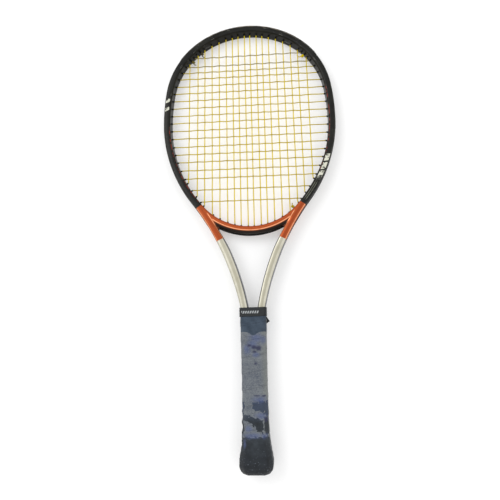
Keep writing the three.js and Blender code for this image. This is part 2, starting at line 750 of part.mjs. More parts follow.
const PIECES = [
  ["frame_tube", frameTube(), PAINT],
  ["throat_bridge", throatBridge(), COPPER],
  ["bumper_guard", bumperGuard(), MOULDED],
  ["grommet_strip_left", sideStrip(-1), MOULDED],
  ["grommet_strip_right", sideStrip(1), MOULDED],
  ["grommet_strip_throat", throatStrip(), MOULDED],
  ["main_string", mainString(), MAIN_YELLOW],
  ["cross_string", crossString(), CROSS_OCHRE],
  ["handle_pallet_front", pallet(1), FOAM],
  ["handle_pallet_back", pallet(-1), FOAM],
  ["butt_cap", buttCap(), CAP_BLACK],
  ["butt_plate", buttPlate(), CAP_BLACK],
  ["butt_cap_staple_front", frontStaple(0), STEEL],
  ["butt_cap_staple_back", backStaple(0), STEEL],
  ["base_grip", sleeve(CAP.baseY, BASE_GRIP_TOP, BASE_INSET, BASE_INSET + BASE_GRIP)
    .subtract(gripStaple(GAP)), LEATHER],
  ["base_grip_staple", gripStaple(0), STEEL],
  ["grip_collar", sleeve(BASE_GRIP_TOP + GAP, COLLAR.top, BASE_INSET, BASE_INSET + COLLAR.thick), MOULDED],
  ["overgrip", sleeve(GRIP_ROWS[0][0], GRIP_ROWS[GRIP_ROWS.length - 1][0], 0, OVERGRIP), CLOTH_BLUE],
  ["finishing_tape", finishingTape(), TAPE_BLACK],
];

const group = new THREE.Group();
for (const [name, solid, look] of PIECES) {
  const mesh = new THREE.Mesh(toGeometry(solid), new THREE.MeshStandardMaterial(look));
  mesh.name = name;
  group.add(mesh);
}

export default group;
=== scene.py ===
"""Looks for a strung tennis racket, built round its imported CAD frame. Metres, in the CAD's axes:
X across the face, Y from the butt to the head, Z out of the face."""

import math

import bmesh
import bpy
import numpy as np
from mathutils import Matrix, Vector
from mathutils.kdtree import KDTree


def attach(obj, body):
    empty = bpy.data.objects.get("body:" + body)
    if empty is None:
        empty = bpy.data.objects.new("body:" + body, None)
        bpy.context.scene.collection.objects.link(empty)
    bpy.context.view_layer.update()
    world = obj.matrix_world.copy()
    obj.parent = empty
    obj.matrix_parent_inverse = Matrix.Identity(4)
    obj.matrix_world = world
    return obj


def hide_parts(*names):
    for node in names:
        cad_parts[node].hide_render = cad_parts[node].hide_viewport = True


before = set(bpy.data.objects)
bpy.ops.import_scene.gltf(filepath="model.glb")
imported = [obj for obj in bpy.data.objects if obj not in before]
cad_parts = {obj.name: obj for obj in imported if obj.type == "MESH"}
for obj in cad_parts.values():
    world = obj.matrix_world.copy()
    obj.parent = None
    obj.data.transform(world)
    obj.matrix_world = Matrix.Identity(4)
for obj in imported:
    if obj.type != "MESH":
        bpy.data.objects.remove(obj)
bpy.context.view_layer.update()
MM = 0.001

# ---------------------------------------------------------------- objects and meshes


def add_object(name, data):
    obj = bpy.data.objects.new(name, data)
    bpy.context.scene.collection.objects.link(obj)
    return obj


def add_attribute(mesh, key, values):
    layer = mesh.attributes.new(key, "FLOAT", "POINT")
    layer.data.foreach_set("value", np.asarray(values, np.float32))


def shade_smooth(mesh):
    mesh.polygons.foreach_set("use_smooth", np.ones(len(mesh.polygons), bool))
    mesh.update()


def add_mesh(name, points, faces, attributes=None):
    mesh = bpy.data.meshes.new(name)
    mesh.from_pydata([tuple(p) for p in points], [], faces)
    for key, values in (attributes or {}).items():
        add_attribute(mesh, key, values)
    shade_smooth(mesh)
    return add_object(name, mesh)


class Parts:
    """Collects several closed skins into one mesh."""

    def __init__(self):
        self.points, self.faces, self.values = [], [], {}

    def rings(self, rings, loop=False, **values):
        """A skin over rings of equal length. loop joins the last ring to the first, and otherwise both ends
        get a flat cap."""
        rings = np.asarray(rings, float)
        rows, count = rings.shape[:2]
        start = len(self.points)
        self.points.extend(rings.reshape(-1, 3).tolist())
        faces = []
        for k in range(rows if loop else rows - 1):
            nxt = (k + 1) % rows
            for i in range(count):
                j = (i + 1) % count
                faces.append((k * count + i, k * count + j, nxt * count + j, nxt * count + i))
        if not loop:
            faces.append(tuple(reversed(range(count))))
            faces.append(tuple((rows - 1) * count + i for i in range(count)))
        self.faces.extend([tuple(start + i for i in face) for face in faces])
        for key, value in values.items():
            self.values.setdefault(key, []).extend(np.broadcast_to(value, rows * count).tolist())

    def make(self, name):
        obj = add_mesh(name, self.points, self.faces, self.values)
        outward(obj)
        return obj


def outward(obj):
    """Turns every face to point out of its closed skin."""
    bm = bmesh.new()
    bm.from_mesh(obj.data)
    bmesh.ops.recalc_face_normals(bm, faces=bm.faces)
    bm.to_mesh(obj.data)
    bm.free()


def finish_piece(obj, look, slot, *nodes):
    obj.data.materials.clear()
    obj.data.materials.append(look.mat)
    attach(obj, "root")
    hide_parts(*nodes)


# ---------------------------------------------------------------- camera and view

CAMERA_AT = Vector((0.046, 0.199, 0.695))
CAMERA_TURN = Vector((-14.52, 4.03, -1.79))  # rotation vector, degrees, from looking straight down
FOCAL, SENSOR, SHIFT_Y = 33.26, 36.0, -0.1
CLIP_NEAR, CLIP_FAR = 0.01, 50


def add_camera():
    data = bpy.data.cameras.new("camera")
    data.lens, data.sensor_width, data.shift_y = FOCAL, SENSOR, SHIFT_Y
    data.clip_start, data.clip_end = CLIP_NEAR, CLIP_FAR
    cam = add_object("camera", data)
    turn = Matrix.Rotation(math.radians(CAMERA_TURN.length), 3, CAMERA_TURN.normalized())
    right, down, ahead = turn @ Matrix.Diagonal((1, -1, -1))  # the camera's own directions, as rows
    axes = Matrix((right, -down, -ahead)).transposed().to_4x4()
    cam.matrix_world = Matrix.Translation(CAMERA_AT) @ axes
    bpy.context.scene.camera = cam


add_camera()
bpy.context.scene.view_settings.view_transform = "Standard"

# ---------------------------------------------------------------- materials

NOISE_LOW, NOISE_HIGH = 0.2, 0.8  # nearly all of a noise lies between these


def rgb(r, g, b):
    """Linear colour from display values of 0 to 255."""
    lin = [(c / 255 / 12.92) if c <= 10 else ((c / 255 + 0.055) / 1.055) ** 2.4 for c in (r, g, b)]
    return (*lin, 1.0)


class Look:
    """A principled material with short ways to add procedural nodes."""

    def __init__(self, name, **sockets):
        self.mat = bpy.data.materials.new(name)
        self.mat.use_nodes = True
        self.tree = self.mat.node_tree
        self.shader = self.tree.nodes["Principled BSDF"]
        self.place = self.node("ShaderNodeTexCoord").outputs["Object"]
        for key, value in sockets.items():
            self.set(key.replace("_", " "), value)

    def node(self, kind, **props):
        n = self.tree.nodes.new(kind)
        for key, value in props.items():
            setattr(n, key, value)
        return n

    def put(self, socket, value):
        if isinstance(value, bpy.types.NodeSocket):
            self.tree.links.new(value, socket)
        else:
            socket.default_value = value

    def set(self, key, value):
        self.put(self.shader.inputs[key], value)

    def attr(self, name):
        return self.node("ShaderNodeAttribute", attribute_name=name).outputs["Fac"]

    def axis(self, index):
        n = self.node("ShaderNodeSeparateXYZ")
        self.put(n.inputs[0], self.place)
        return n.outputs[index]

    def stretch(self, scale, turn=0):
        """The place, scaled along each axis and turned round Z by degrees."""
        n = self.node("ShaderNodeMapping")
        self.put(n.inputs["Vector"], self.place)
        n.inputs["Scale"].default_value = scale
        n.inputs["Rotation"].default_value = (0, 0, math.radians(turn))
        return n.outputs[0]

    def vector(self, *parts):
        n = self.node("ShaderNodeCombineXYZ")
        for socket, part in zip(n.inputs, parts):
            self.put(socket, part)
        return n.outputs[0]

    def noise(self, scale, detail=3.0, rough=0.55, warp=0.0, vector=None):
        n = self.node("ShaderNodeTexNoise")
        self.put(n.inputs["Vector"], vector or self.place)
        for key, v in (("Scale", scale), ("Detail", detail), ("Roughness", rough), ("Distortion", warp)):
            n.inputs[key].default_value = v
        return n.outputs["Fac"]

    def cells(self, scale, feature="F1"):
        n = self.node("ShaderNodeTexVoronoi", feature=feature)
        self.put(n.inputs["Vector"], self.place)
        n.inputs["Scale"].default_value = scale
        return n.outputs["Distance"]

    def math(self, op, a, b=0.0):
        n = self.node("ShaderNodeMath", operation=op)
        self.put(n.inputs[0], a)
        self.put(n.inputs[1], b)
        return n.outputs[0]

    def times(self, first, *others):
        for other in others:
            first = self.math("MULTIPLY", first, other)
        return first

    def plus(self, a, b):
        return self.math("ADD", a, b)

    def most(self, a, b):
        return self.math("MAXIMUM", a, b)

    def size(self, a):
        return self.math("ABSOLUTE", a)

    def span(self, value, low, high, out_low=0.0, out_high=1.0, smooth=False):
        """Value from low to high, laid out from out_low to out_high and held there beyond."""
        n = self.node("ShaderNodeMapRange", interpolation_type="SMOOTHSTEP" if smooth else "LINEAR")
        for socket, v in zip(n.inputs, (value, low, high, out_low, out_high)):
            self.put(socket, v)
        return n.outputs[0]

    def between(self, value, low, high, soft):
        """1 where value lies between low and high."""
        up = self.span(value, low - soft, low + soft, smooth=True)
        down = self.span(value, high - soft, high + soft, 1.0, 0.0, smooth=True)
        return self.times(up, down)

    def patches(self, scale, detail, low, high, rough=0.55, out=(0.0, 1.0)):
        """Where a noise rises from low to high."""
        return self.span(self.noise(scale, detail, rough), low, high, *out)

    def mix(self, share_of_b, a, b):
        n = self.node("ShaderNodeMix", data_type="RGBA")
        for index, value in zip((0, 6, 7), (share_of_b, a, b)):
            self.put(n.inputs[index], value)
        return n.outputs[2]

    def tones(self, share_of_b, a, b):
        """A mix of two display colours."""
        return self.mix(share_of_b, rgb(*a), rgb(*b))

    def coats(self, colour, *coats):
        """Lays coats over a colour, in order. Each is (share, display colour)."""
        for thickness, tint in coats:
            colour = self.mix(thickness, colour, rgb(*tint))
        return colour

    def colour(self, base, *coats):
        self.set("Base Color", self.coats(base, *coats))

    def roughness(self, scale, detail, low, high):
        self.set("Roughness", self.patches(scale, detail, NOISE_LOW, NOISE_HIGH, out=(low, high)))

    def bump(self, *layers):
        """Each layer is (height socket, depth in metres)."""
        normal = None
        for height, depth in layers:
            n = self.node("ShaderNodeBump")
            n.inputs["Strength"].default_value = 1.0
            n.inputs["Distance"].default_value = depth
            self.put(n.inputs["Height"], height)
            if normal is not None:
                self.put(n.inputs["Normal"], normal)
            normal = n.outputs[0]
        self.set("Normal", normal)


# ---------------------------------------------------------------- the rails (as in the CAD)

LENGTH = 0.6858
GUARD_PROUD = 0.0015
HOOP_HALF = 0.0055
BEAM_HALF = 0.0115
SHAFT_INNER = 0.0073
LEG_DEPTH, LEG_TAPER_AT = 0.0085, (0.185, 0.215)  # inside the handle the tube is shallower
TUBE_FOOT = 0.008  # the height of the tube's ends above the butt
ROUND_ACROSS, ROUND_DEEP, CROWN = 0.0024, 0.0034, 0.0003  # the tube's corners and its front's rise
# The outline from the tip down: outer radius, degrees, and 1 where it bends inward or -1 outward.
OUTLINE_ARCS = [
    (0.1394, 24.9, 1), (0.1347, 57.2, 1), (0.3641, 9.3, 1), (0.2249, 36.4, 1), (0.3728, 37.8, -1),
]  # fmt: skip
BRIDGE_CENTRE_Y, BRIDGE_RADIUS, BRIDGE_HALF = 0.4333, 0.1023, 0.006
BRIDGE_REACH = math.radians(51)  # its ends fade out along the tube
BRIDGE_NARROWS_FROM, BRIDGE_NARROWING = 38, 0.0006  # degrees, and metres for each degree beyond
GROOVE_DEPTH, GROOVE_END, GROOVE_FADE = 0.0028, 0.434, 0.014
FACET = 0.014
SHAFT_DRAW, SHAFT_DRAW_AT = 0.0014, (0.28, 0.22)  # the shafts' outer sides draw in toward the handle
GUARD_REACH, STRIP_START, STRIP_END = 0.137, 0.1385, 0.428
THROAT_STRIP_REACH = math.radians(29.5)
COPPER_FROM, SILVER_FROM = 0.397, 0.459  # where the paint changes, along the tube from the top


def spine(distance):
    left, x, y, heading = abs(distance), 0.0, LENGTH - GUARD_PROUD - HOOP_HALF, 0.0
    for outer, degrees, bend in OUTLINE_ARCS:
        radius = outer - bend * HOOP_HALF
        turn = min(left / radius, math.radians(degrees))
        chord = 2 * radius * math.sin(turn / 2)
        x += chord * math.cos(heading + bend * turn / 2)
        y -= chord * math.sin(heading + bend * turn / 2)
        heading += bend * turn
        left -= radius * turn
    x += left * math.cos(heading)
    y -= left * math.sin(heading)
    side = -1 if distance < 0 else 1
    return side * x, y, side * math.sin(heading), math.cos(heading)


def bridge_line(distance):
    angle = distance / BRIDGE_RADIUS
    nx, ny = math.sin(angle), -math.cos(angle)
    return BRIDGE_RADIUS * nx, BRIDGE_CENTRE_Y + BRIDGE_RADIUS * ny, nx, ny


def beside(rail, distance, across):
    x, y, nx, ny = rail(distance)
    return x + nx * across, y + ny * across


def carry(rail, distances, outline_at):
    return [[(*beside(rail, s, u), z) for u, z in outline_at(s)] for s in distances]

def solve(f, low, high):
    for _ in range(50):
        middle = (low + high) / 2
        if f(low) * f(middle) <= 0:
            high = middle
        else:
            low = middle
    return (low + high) / 2


def share(value, low, high):
    """How far a number or an array has gone from low to high, held within 0 and 1."""
    return np.clip((value - low) / (high - low), 0, 1)


TUBE_END = solve(lambda s: spine(s)[1] - TUBE_FOOT, GROOVE_END, 2 * LENGTH)
WIDEST = solve(lambda s: spine(s)[3], FACET, GROOVE_END)


def mirrored(half):
    """A closed outline from its front half, whose first and last points may lie on the middle plane."""
    back = [(u, -z) for u, z in reversed(half) if z > 1e-9]
    return [*half, *back]


def arc(centre, reach, start, stop, parts):
    angles = np.radians(np.linspace(start, stop, parts + 1))
    return [(centre[0] + reach[0] * math.cos(a), centre[1] + reach[1] * math.sin(a)) for a in angles]


def slimmed(y):
    """How far the shafts' outer sides draw in toward the handle."""
    return SHAFT_DRAW * share(y, *SHAFT_DRAW_AT)


def inner_half(distance):
    """How far the tube's inner side stands from its centre line. It stands out most on the shafts."""
    return HOOP_HALF + (SHAFT_INNER - HOOP_HALF) * share(abs(distance), GROOVE_END, GROOVE_END + 3 * FACET)


def tube_outline(distance):
    y = spine(distance)[1]
    above_grip = share(y, *LEG_TAPER_AT)
    outer = HOOP_HALF - slimmed(y)
    inner = HOOP_HALF + (inner_half(distance) - HOOP_HALF) * above_grip
    depth = LEG_DEPTH + (BEAM_HALF - LEG_DEPTH) * above_grip
    groove = GROOVE_DEPTH * (1 - share(abs(distance), GROOVE_END, GROOVE_END + GROOVE_FADE))
    top = depth - CROWN
    middle = (outer - inner) / 2
    half = [
        (outer - groove, 0.0),
        (outer - groove, 0.0026),
        (outer - 0.9 * groove, 0.0032),
        (outer - 0.2 * groove, 0.0039),
        (outer, 0.0046),
        *arc((outer - ROUND_ACROSS, top - ROUND_DEEP), (ROUND_ACROSS, ROUND_DEEP), 0, 90, 6),
        (middle + 0.001, depth - 0.1 * CROWN),
        (middle - 0.001, depth - 0.1 * CROWN),
        *arc((ROUND_ACROSS - inner, top - ROUND_DEEP), (ROUND_ACROSS, ROUND_DEEP), 90, 180, 6),
        (-inner, 0.0),
    ]
    return mirrored(half)


def bridge_outline(distance):
    """The bridge's section. Toward its ends it narrows from the handle's side, inside the tube."""
    past = math.degrees(abs(distance) / BRIDGE_RADIUS) - BRIDGE_NARROWS_FROM
    most = BRIDGE_HALF - BRIDGE_NARROWING * max(0.0, past)
    half = [
        (BRIDGE_HALF - GROOVE_DEPTH, 0.0),
        (BRIDGE_HALF - GROOVE_DEPTH, 0.003),
        (BRIDGE_HALF - 0.0003, 0.0041),
        (BRIDGE_HALF, 0.0048),
        (0.0051, 0.0066),
        (0.0042, 0.0083),
        (0.0026, 0.0098),
        (0.0013, 0.0107),
        (0.0004, 0.0113),
        (-0.0004, 0.0112),
        (-0.0022, 0.0112),
        (-0.0038, 0.01105),
        *arc((-0.0042, 0.0093), (0.0018, 0.0017), 100, 180, 4),
        (-BRIDGE_HALF, 0.0),
    ]
    # Each point keeps a little inside the one before it, so that the cut side stays a true outline.
    return mirrored([(min(u, most - 0.00001 * k), z) for k, (u, z) in enumerate(half)])


# ---------------------------------------------------------------- string holes (as in the CAD)

STRIP_FLOOR, STRIP_TOP, STRIP_HALF = 0.0025, 0.0018, 0.0028
LOOP_DEPTH, LOOP_SHIFT = 0.00095, 0.0014
BARREL_RADIUS, BORE_RADIUS, BARREL_PROUD = 0.0014, 0.0009, 0.0025
BEND_BEFORE_BARREL = 0.0006
MAIN_OFFSETS = [0.0046, 0.0155, 0.0254, 0.0363, 0.0483, 0.0604, 0.0726, 0.0843, 0.0983]
CROSS_HEIGHTS = [
    0.6327, 0.6164, 0.6057, 0.5941, 0.5807, 0.5677, 0.5544, 0.541, 0.5275, 0.5145,
    0.5008, 0.487, 0.4727, 0.4594, 0.4463, 0.4321, 0.4184, 0.3993, 0.3799,
]  # fmt: skip
BRIDGE_MAIN_LIMIT = 0.05
MAIN_TIES, CROSS_TIES = (-0.114, 0.114), (-0.091, 0.408)
CROSSING_ROOM = 0.003

HOOP = {"at": spine, "half": HOOP_HALF, "tilt": math.radians(12)}
BRIDGE = {"at": bridge_line, "half": BRIDGE_HALF, "tilt": math.radians(31)}


class Hole:
    """A string hole that leaves the head at its mouth and tilts toward its string."""

    def __init__(self, rail, distance, way=None):
        self.rail, self.distance = rail, distance
        _, _, nx, ny = rail["at"](distance)
        self.mouth = -(rail["half"] + BARREL_PROUD)
        self.bend = beside(rail["at"], distance, self.mouth - BEND_BEFORE_BARREL)
        square = math.atan2(ny, nx)
        tilt = math.atan2(way[1], way[0]) - square if way else 0.0
        tilt = math.atan2(math.sin(tilt), math.cos(tilt))
        turned = square + min(rail["tilt"], max(-rail["tilt"], tilt))
        self.way = (math.cos(turned), math.sin(turned))
        self.lean = math.cos(turned - square)
        self.exit = self.at_depth(rail["half"] - LOOP_DEPTH)
        self.exit_at = solve(self._past, distance - FACET, distance + FACET)

    def _past(self, s):
        x, y, nx, ny = self.rail["at"](s)
        return (self.exit[0] - x) * ny - (self.exit[1] - y) * nx

    def at_depth(self, across):
        length = (across - self.mouth + BEND_BEFORE_BARREL) / self.lean
        return self.along(length)

    def along(self, length):
        return self.bend[0] + self.way[0] * length, self.bend[1] + self.way[1] * length


BEND_LINE = -(HOOP_HALF + BARREL_PROUD + BEND_BEFORE_BARREL)


def hoop_hole(value, axis, low, high, side, way):
    s = solve(lambda t: beside(spine, t, BEND_LINE)[axis] - value, low, high)
    return Hole(HOOP, side * s, way)


def main_bottom(x):
    if abs(x) < BRIDGE_MAIN_LIMIT:
        radius = BRIDGE_RADIUS - BRIDGE_HALF - BARREL_PROUD - BEND_BEFORE_BARREL
        return Hole(BRIDGE, BRIDGE_RADIUS * math.asin(x / radius), (0, -1))
    return hoop_hole(abs(x), 0, WIDEST, GROOVE_END, math.copysign(1, x), (0, -1))


MAIN_XS = [-x for x in reversed(MAIN_OFFSETS)] + MAIN_OFFSETS
MAINS = [(x, hoop_hole(abs(x), 0, 0, WIDEST, math.copysign(1, x), (0, 1)), main_bottom(x)) for x in MAIN_XS]
CROSSES = [
    (y, *[hoop_hole(y, 1, FACET / 2, GROOVE_END, side, (side, 0)) for side in (-1, 1)])
    for y in CROSS_HEIGHTS
]
MAIN_TIE_HOLES = [Hole(HOOP, s) for s in MAIN_TIES]
CROSS_TIE_HOLES = [Hole(HOOP, s) for s in CROSS_TIES]
HOLES = [h for row in (*MAINS, *CROSSES) for h in row[1:]] + MAIN_TIE_HOLES + CROSS_TIE_HOLES

# ---------------------------------------------------------------- frame shell: tube, bridge and webs

CURVED_REACH, FINE_STEP, COARSE_STEP = 0.448, 0.0025, 0.005  # stations lie closer on the head
BRIDGE_STATIONS = 70
VOXEL = 0.001
# Flat fillings where the bridge meets a shaft: radius and angles beside the bridge's arc, offset and
# stretch beside the tube, and half depth. Angles and stretches end with their count of points.
FILLINGS = [
    (0.1045, (23.5, 36, 8), -0.003, (0.417, 0.4395, 8), 0.0068),  # the thin web that closes the notch
    (0.0985, (34.5, 48, 9), -0.0015, (0.402, 0.4215, 7), 0.0111),  # the bridge's front run into the tube's
]
JOINT_X, JOINT_Y = (0.036, 0.075), (0.318, 0.368)  # the inner corners at the joints, rounded most
OFF_TUBE_Y, OFF_TUBE_FADE = (0.3, 0.372), 0.0006  # where a point inside the tube's line is on the bridge
BRIDGE_BAND = (-0.007, 0.02)  # offsets from the bridge's arc are held within this
RAIL_SAMPLE = 0.001


def filling(side, radius, angles, offset, stretch, depth):
    turns = np.radians(np.linspace(*angles))
    upper = [(radius * math.sin(a), BRIDGE_CENTRE_Y - radius * math.cos(a)) for a in turns]
    lower = [beside(spine, s, offset) for s in np.linspace(*stretch)]
    return [[(side * x, y, z) for x, y in (*upper, *lower)] for z in (-depth, depth)]


def build_shell():
    parts = Parts()
    stations = [
        *np.arange(-TUBE_END, -CURVED_REACH, COARSE_STEP),
        *np.arange(-CURVED_REACH, CURVED_REACH, FINE_STEP),
        *np.arange(CURVED_REACH, TUBE_END, COARSE_STEP),
        TUBE_END,
    ]
    parts.rings(carry(spine, stations, tube_outline))
    reach = BRIDGE_RADIUS * BRIDGE_REACH
    parts.rings(carry(bridge_line, np.linspace(-reach, reach, BRIDGE_STATIONS), bridge_outline))
    for side in (-1, 1):
        for sizes in FILLINGS:
            parts.rings(filling(side, *sizes))
    shell = fused(parts.make("frame_raw"), "frame_shell")
    soften(shell)
    add_rail_facts(shell.data)
    return shell


def fused(raw, name):
    """The outside of several overlapping skins, as one new skin."""
    remesh = raw.modifiers.new("fuse", "REMESH")
    remesh.mode, remesh.voxel_size = "VOXEL", VOXEL
    graph = bpy.context.evaluated_depsgraph_get()
    mesh = bpy.data.meshes.new_from_object(raw.evaluated_get(graph))
    mesh.name = name
    bpy.data.objects.remove(raw)
    shade_smooth(mesh)
    return add_object(name, mesh)


def places(mesh):
    co = np.zeros(len(mesh.vertices) * 3)
    mesh.vertices.foreach_get("co", co)
    return co


def soften(shell):
    """Smooths the shell all over, and again where the bridge and webs meet the tube."""
    x, y, _ = places(shell.data).reshape(-1, 3).T
    near = (abs(x) > JOINT_X[0]) & (abs(x) < JOINT_X[1]) & (y > JOINT_Y[0]) & (y < JOINT_Y[1])
    group = shell.vertex_groups.new(name="joint")
    group.add(np.nonzero(near)[0].tolist(), 1.0, "REPLACE")
    for where, rounds in (("", 5), ("joint", 4)):
        smooth = shell.modifiers.new("soften", "SMOOTH")
        smooth.factor, smooth.iterations, smooth.vertex_group = 0.5, rounds, where
    graph = bpy.context.evaluated_depsgraph_get()
    soft = places(shell.evaluated_get(graph).to_mesh())
    shell.modifiers.clear()
    shell.vertex_groups.clear()
    shell.data.vertices.foreach_set("co", soft)
    shell.data.update()


def nearest(known, points):
    """For each point, the index of the nearest known point and the gap to it."""
    tree = KDTree(len(known))
    for i, p in enumerate(known):
        tree.insert(p, i)
    tree.balance()
    return [tree.find(p)[1:] for p in points]


def rail_places(co):
    """For points, the signed distance along the tube and the offset across it."""
    samples = np.arange(-TUBE_END, TUBE_END, RAIL_SAMPLE)
    lines = np.array([spine(s) for s in samples])
    flat = (1, 1, 0)
    near = [i for i, _ in nearest(lines[:, :3] * flat, co * flat)]
    x, y, nx, ny = lines[near].T
    dx, dy = co[:, 0] - x, co[:, 1] - y
    return samples[near] + dx * ny - dy * nx, dx * nx + dy * ny


def add_rail_facts(mesh):
    """Marks each point with where it lies on the tube and on the bridge, for the paint."""
    co = places(mesh).reshape(-1, 3)
    along, across = rail_places(co)
    inner_gap = across + inner_half(along)
    off_tube = share(-inner_gap, 0, OFF_TUBE_FADE) * (co[:, 1] > OFF_TUBE_Y[0]) * (co[:, 1] < OFF_TUBE_Y[1])
    bridge_u = np.hypot(co[:, 0], co[:, 1] - BRIDGE_CENTRE_Y) - BRIDGE_RADIUS
    add_attribute(mesh, "rail_s", along)
    add_attribute(mesh, "rail_u", across + np.where(across > 0, slimmed(co[:, 1]), 0))
    add_attribute(mesh, "inner_gap", inner_gap)
    add_attribute(mesh, "on_bridge", off_tube)
    add_attribute(mesh, "bridge_u", np.where(off_tube > 0, np.clip(bridge_u, *BRIDGE_BAND), BRIDGE_BAND[0]))


# ---------------------------------------------------------------- the frame's paint

PAINT_EDGE = 0.0002  # half the width in which one paint gives way to the next
MIDDLE_EDGE = 0.0001  # and the same between left and right
# Bands on the front face, as offsets across the tube from its centre line, outward above zero.
# The first two are painted dark reflection bands down the middle of the copper and silver front faces.
COPPER_DARK_REFLECTION, SILVER_DARK_REFLECTION = (-0.0022, 0.0016), (-0.0036, 0.0008)
PINSTRIPE, BAR_ROW = (-0.0047, -0.0036), (-0.003, 0.0034)
PALE_PAIR = [(0.0006, 0.0011), (-0.0021, -0.0016)]
# The rim line and the outer line are painted highlights along the outer edge, on the black hoop and on the
# copper.
RIM_HIGHLIGHT, TIP_SCRAPE, OUTER_HIGHLIGHT = (0.0034, 0.0044), (0.0026, 0.0041), (0.0035, 0.0046)
# Painted shade lines along the silver shafts' edges.
OUTER_SHADE_LINE, INNER_SHADE_LINE = (0.0044, 0.0049), (0.0009, 0.0014)
# The copper's inner edge line and the bridge's ridge line are painted highlights.
INNER_HIGHLIGHT, RIDGE_HIGHLIGHT = (0.0003, 0.0013), (-0.0003, 0.0009)  # from the inner side, and from the bridge's arc
# Offsets from the bridge's arc of its underside and of the web beside it, which both get painted shade.
BRIDGE_SHADED_UNDERSIDE, BRIDGE_WEB_SHADE = (0.0009, 0.0022), (0.0055, 0.0068)
# Stretches along the tube from the tip, below zero on the left.
PINSTRIPES_ALONG = [(-0.393, -0.25), (0.19, 0.338)]
BARS_ALONG = [(0.309, 0.353, 0.8), (-0.2265, -0.198, 0.42)]  # and the filled share of each period
BAR_PERIOD, BAR_SLANT = 0.0147, 0.5
PAIR_ALONG = (0.356, 0.39)
INNER_HIGHLIGHT_ALONG, TIP_ALONG, SCRATCHED_ALONG = (0.412, 0.416), (0.03, 0.12), (0.2, 0.32)
# Depths from the middle plane where the side walls end and the front face begins.
WALL_DEPTH, LINE_DEPTH, FRONT_DEPTH = (0.0072, 0.0086), (0.0086, 0.0096), (0.009, 0.0098)


